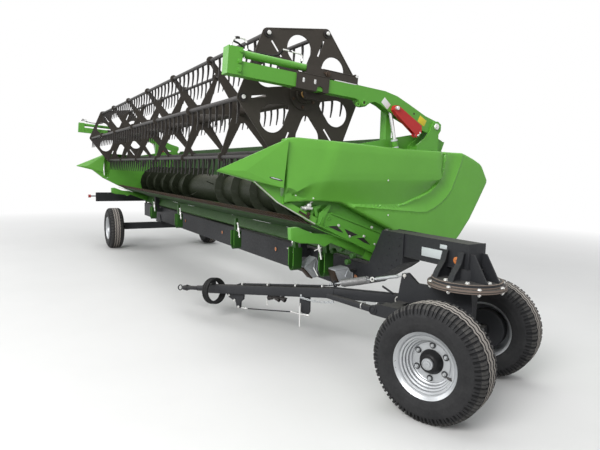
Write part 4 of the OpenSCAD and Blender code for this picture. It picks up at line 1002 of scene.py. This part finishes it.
for end, turn in END.items():
    side = ROW @ at(HEAD_X, 0, 0) @ turn
    caps = Piece("arm_cap_bolts_" + end, "green white_zinc", side)
    for y, z, r in ((-1337, 2372, 8), (-1352, 2302, 9), (-1355, 2241, 9)):
        caps.bolt(on_side(3922, y, z), r)
    caps.slot = 1
    caps.turned(on_side(3922, -1318, 2330), [(0, -1), (5, 0), (4, 2.5), (0, 3)], 12)
    caps.done("reel_arms")

    pads = Piece("carriage_slide_pads_" + end, "white", ARM @ turn)
    pads.block(at(ARM_X, 244, 54.8), (78, 212, 7.4), 1.5)
    for y, z in ((-838, 2231), (-738, 2226)):
        outline = [(-9, -12), (-6, -17), (6, -17), (9, -12), (9, 12), (6, 17), (-6, 17), (-9, 12)]
        pads.prism(crosswise(3919, y + 693, z - 2214 + (y + 693) * 0.068), outline, 5, 1)
    pads.done("reel_carriage")
    knob = Piece("carriage_bolts_" + end, "white_zinc knife", ARM @ turn)
    knob.bolt(on_side(3908, 338, 116), 7, washer=False)
    knob.slot = 1
    knob.turned(on_side(3908, 70, 86), [(0, -4), (22, -4), (22, 8), (19, 11), (12, 11), (12, 18), (0, 20)], 28)
    knob.turned(on_side(3908, 44, 92), [(0, -4), (11, -4), (11, 8), (0, 10)], 6)
    knob.done("reel_carriage")
    edge = Piece("carriage_plate_folds_" + end, "reel", ARM @ turn)
    for y in (-203, 78):
        edge.rod([(3923, y, -57), (3923, y, 57)], 3, 8)
    edge.rod([(3909, 26, 118), (3909, 322, 118), (3909, 350, 126)], 3, 8)
    edge.rod([(3923, -200, 58), (3923, 74, 58)], 2.5, 8)
    edge.done("reel_carriage")

    # hydraulic pipes of the slide cylinder, with their clips
    pipe = Piece("slide_cylinder_pipes_" + end, "white_zinc tine", side)
    pipe.rod([(ARM_X, -1394, 2392), (ARM_X, -1394, 2425), (ARM_X, -1384, 2450), (ARM_X, -1359, 2468)], 8.5, 12)
    pipe.rod([(ARM_X, -1338, 2471), (ARM_X, -1300, 2470), (ARM_X, -1285, 2461), (ARM_X, -1281, 2449),
        (ARM_X, -1281, 2395)], 7, 12)
    pipe.rod([(ARM_X, -986, 2438), (ARM_X, -940, 2434)], 6, 10)
    pipe.rod([(ARM_X, -916, 2431), (ARM_X, -842, 2424), (ARM_X, -829, 2414), (ARM_X, -828, 2384)], 6, 10)
    for y, z in ((-1394, 2398), (-1281, 2396), (-828, 2384)):
        pipe.turned(at(ARM_X, y, z), [(0, -10), (12, -10), (12, 6), (8, 9), (0, 9)], 6)
    pipe.slot = 1
    pipe.rod([(ARM_X, -1365, 2466), (ARM_X, -1350, 2471), (ARM_X, -1334, 2471)], 9.5, 12)
    pipe.rod([(ARM_X, -1281, 2442), (ARM_X, -1281, 2425)], 9, 12)
    pipe.rod([(ARM_X, -945, 2434), (ARM_X, -910, 2430)], 5, 10)
    pipe.done("reel_arms")
    hose = Piece("slide_hose_" + end, "cable", side)
    hose.rod([(ARM_X, -1386, 2446), (3845, -1330, 2440), (3812, -1270, 2420), (3800, -1200, 2404),
        (3800, -1040, 2398), (3822, -990, 2412), (3866, -984, 2436)], 7, 10)
    hose.done("reel_arms")

    stick = Piece("arm_blank_stickers_" + end, "white yellow", side)
    stick.prism(crosswise(3912, -43, 2126) @ about("Z", -40),
        [(-43, -27), (43, -27), (43, 27), (-43, 27)], 0.8, 0.2)
    stick.slot = 1
    stick.prism(crosswise(3912, 362, 2011) @ about("Z", -28),
        [(-44, -29), (44, -29), (44, 29), (-44, 29)], 0.8, 0.2)
    stick.done("reel_arms")
    lugs = Piece("arm_small_fittings_" + end, "knife white_zinc green", side)
    for y, z, r in ((-268, 2113, 11), (267, 2065, 9)):
        lugs.turned(on_side(3912, y, z), plug(r, 0.4, 0.9), 24)
    lugs.slot = 1
    lugs.turned(on_side(ARM_X, 515, 1970), [(0, 40), (27, 40), (27, 66), (24, 70), (12, 70), (12, 78),
        (0, 79)], 28)
    lugs.turned(on_side(3975, 35, 2090), [(0, -30), (16, -30), (16, 3), (13, 6), (0, 6)], 24)
    lugs.slot = 2
    lugs.hoop(on_side(3912, -268, 2113), [(12, 0), (24, 0), (25, 2), (25, 6), (22, 8), (14, 8), (12, 6)], 28)
    lugs.hoop(on_side(3912, -318, 2098), [(8, -20), (20, -20), (20, -6), (16, -4), (8, -6)], 24)
    lugs.rod([(3910, -330, 2185), (3910, -240, 2176), (3910, -120, 2140)], 2.2, 6)
    lugs.done("reel_arms")
    tabs = Piece("prop_tabs_" + end, "red white_zinc", side)
    tabs.prism(crosswise(3955), [(248, 1866), (270, 1862), (272, 1884), (252, 1890)], 4, 1)
    tabs.prism(crosswise(3930), [(226, 1878), (262, 1858), (270, 1882), (240, 1900)], 3, 0.8)
    tabs.slot = 1
    tabs.bolt(on_side(3957, 300, 1905), 5, washer=False)
    tabs.done("reel_arms")
    label = Piece("lift_barrel_blank_label_" + end, "plate", side)
    d = Vector((0, 35 - 196, 2090 - 1410)).normalized()
    foot = Vector((ARM_X, 196, 1410))
    label.hoop(aimed(foot + d * 330, d), [(27.2, 0), (27.7, 1), (27.7, 52), (27.2, 53)], 36)
    label.hoop(aimed(foot + d * 428, d), [(17, 0), (27, 0), (29, 3), (29, 12), (26, 15), (17, 15)], 36)
    label.done("lift_barrel_" + end)

    hub = Piece("reel_bearing_" + end, "reel brass knife", REEL @ turn)
    hub.hoop(on_side(3686, 0, 0), [(30.5, 0), (74, 0), (76, 3), (76, 14), (72, 18), (60, 18), (56, 12),
        (40, 12), (38, 20), (30.5, 20)], 48)
    hub.slot = 1
    hub.hoop(on_side(3700, 0, 0), [(30.4, 0), (38, 0), (38, 12), (35, 15), (30.4, 15)], 40)
    hub.slot = 2
    for k in range(6):
        hub.bolt(on_side(3686, 104 * cos(pi * k / 3 + 0.3), 104 * sin(pi * k / 3 + 0.3)), 7)
    hub.done("reel")

# bolts in the ends of the bats, folds of the end stars
BAT_RING = 532
for k in range(6):
    a = radians(60 * k)
    y, z = BAT_RING * cos(a), BAT_RING * sin(a)
    nuts = Piece("bat_%d_end_bolts" % (k + 1), "white_zinc tine", REEL)
    for t in (-1, 1):
        nuts.slot = 0
        nuts.turned(aimed((t * 3700, y, z), (t, 0, 0)),
            [(0, -1), (16, -1), (16.5, 3), (14, 7), (7, 8), (7, 12), (0, 13)], 24)
        nuts.slot = 1
        nuts.hoop(aimed((t * 3674.5, y, z), (t, 0, 0)), [(18.6, 0), (30, 0), (31, 3), (30, 9), (18.6, 10)], 32)
    nuts.done("bat_%d" % (k + 1))
folds = Piece("end_star_folds", "reel", REEL)
for t in (-1, 1):
    for k in range(6):
        a = radians(60 * k + 30)
        m = at(t * 3674, 0, 0) @ about("X", 60 * k + 30)
        folds.rod([(0, 496, -150), (0, 496, 150)], 4, 8, m)
        rim = [(0, 345 + 112 * cos(q), 112 * sin(q)) for q in (pi * j / 16 for j in range(-11, 12))]
        folds.rod(rim, 3.2, 6, m)
        folds.rod([(0, 215, -66), (0, 196, -40), (0, 168, -18), (0, 168, 18), (0, 196, 40), (0, 215, 66)],
            3.2, 6, m)
folds.done("reel")


# ---------- floor, lights, camera ----------

bpy.context.scene.view_settings.view_transform = "Standard"
floor_mesh = bpy.data.meshes.new("floor")
floor_mesh.from_pydata([(-60, -60, 0), (60, -60, 0), (60, 60, 0), (-60, 60, 0)], [], [(0, 1, 2, 3)])
floor = bpy.data.objects.new("floor", floor_mesh)
bpy.context.scene.collection.objects.link(floor)
f = Finish("pale_floor")
SEEN_RAYS = ("Is Camera Ray", "Is Glossy Ray", "Is Transmission Ray")
path = [f.node("ShaderNodeLightPath", out=k) for k in SEEN_RAYS]
seen = 1 - (1 - path[0]) * (1 - path[1]) * (1 - path[2])
far = f.node("ShaderNodeVectorMath", {"operation": "LENGTH"}, {0: f.node("ShaderNodeNewGeometry")}, out=1)
haze = f.ramp(far / 40, (0.14, 0.0), (0.30, 1.0)) * seen
grit = f.noise(0.6, 6, 0.6, at=f.node("ShaderNodeNewGeometry"))
pale = f.mix(grit, (0.70, 0.695, 0.68), (0.78, 0.775, 0.76))
f.set(Base_Color=f.mix(seen, (0.30, 0.29, 0.275), pale), Roughness=0.8)
glow = f.node("ShaderNodeEmission", {}, {"Color": (1, 1, 1), "Strength": 1.0})
f.blend(haze, Wire(f, f.shader.outputs[0]), glow, "Material Output")
floor_mesh.materials.append(f.mat)

world = bpy.data.worlds.new("studio")
bpy.context.scene.world = world
world.use_nodes = True
studio = Finish(tree=world.node_tree)
path = [studio.node("ShaderNodeLightPath", out=k) for k in SEEN_RAYS]
seen = path[0].calc("MAXIMUM", path[1]).calc("MAXIMUM", path[2])
light = studio.node("ShaderNodeBackground", {}, {"Color": (0.93, 0.96, 1.0), "Strength": 0.5})
white = studio.node("ShaderNodeBackground", {}, {"Color": (1, 1, 1), "Strength": 1.0})
studio.blend(seen, light, white, "World Output")


def lamp(name, at, aim, size, power, colour=(1, 1, 1)):
    data = bpy.data.lights.new(name, "AREA")
    data.shape, data.size, data.size_y = "RECTANGLE", size[0], size[1]
    data.energy, data.color = power, colour
    o = bpy.data.objects.new(name, data)
    o.location = at
    o.rotation_euler = (Vector(aim) - Vector(at)).to_track_quat("-Z", "Y").to_euler()
    bpy.context.scene.collection.objects.link(o)


lamp("key", (7.5, -8.0, 6.5), (0.5, 0, 1), (6, 4), 900)
lamp("fill", (-6, -9, 5), (-1, 0, 1.2), (8, 5), 330)
lamp("roof", (0, 1, 8), (0, 0, 0), (12, 6), 380)

PICTURE, SENSOR = 600, 36
F_PX, AT, YAW, PITCH, ROLL = 512.5, (2.4585, -2.7993, 1.5656), 149.7265, -6.1173, 1.3337
cam = bpy.data.objects.new("camera", bpy.data.cameras.new("camera"))
bpy.context.scene.collection.objects.link(cam)
bpy.context.scene.camera = cam
cam.data.sensor_width = SENSOR
cam.data.lens = F_PX / PICTURE * SENSOR
y, p, r = radians(YAW), radians(PITCH), radians(ROLL)
fwd = Vector((cos(p) * cos(y), cos(p) * sin(y), sin(p)))
right = Vector((sin(y), -cos(y), 0))
up = right.cross(fwd)
right, up = right * cos(r) + up * sin(r), up * cos(r) - right * sin(r)
cam.matrix_world = Matrix.Translation(Vector(AT) + SHIFT) @ Matrix((right, up, -fwd)).transposed().to_4x4()
cam.data.clip_end = 200
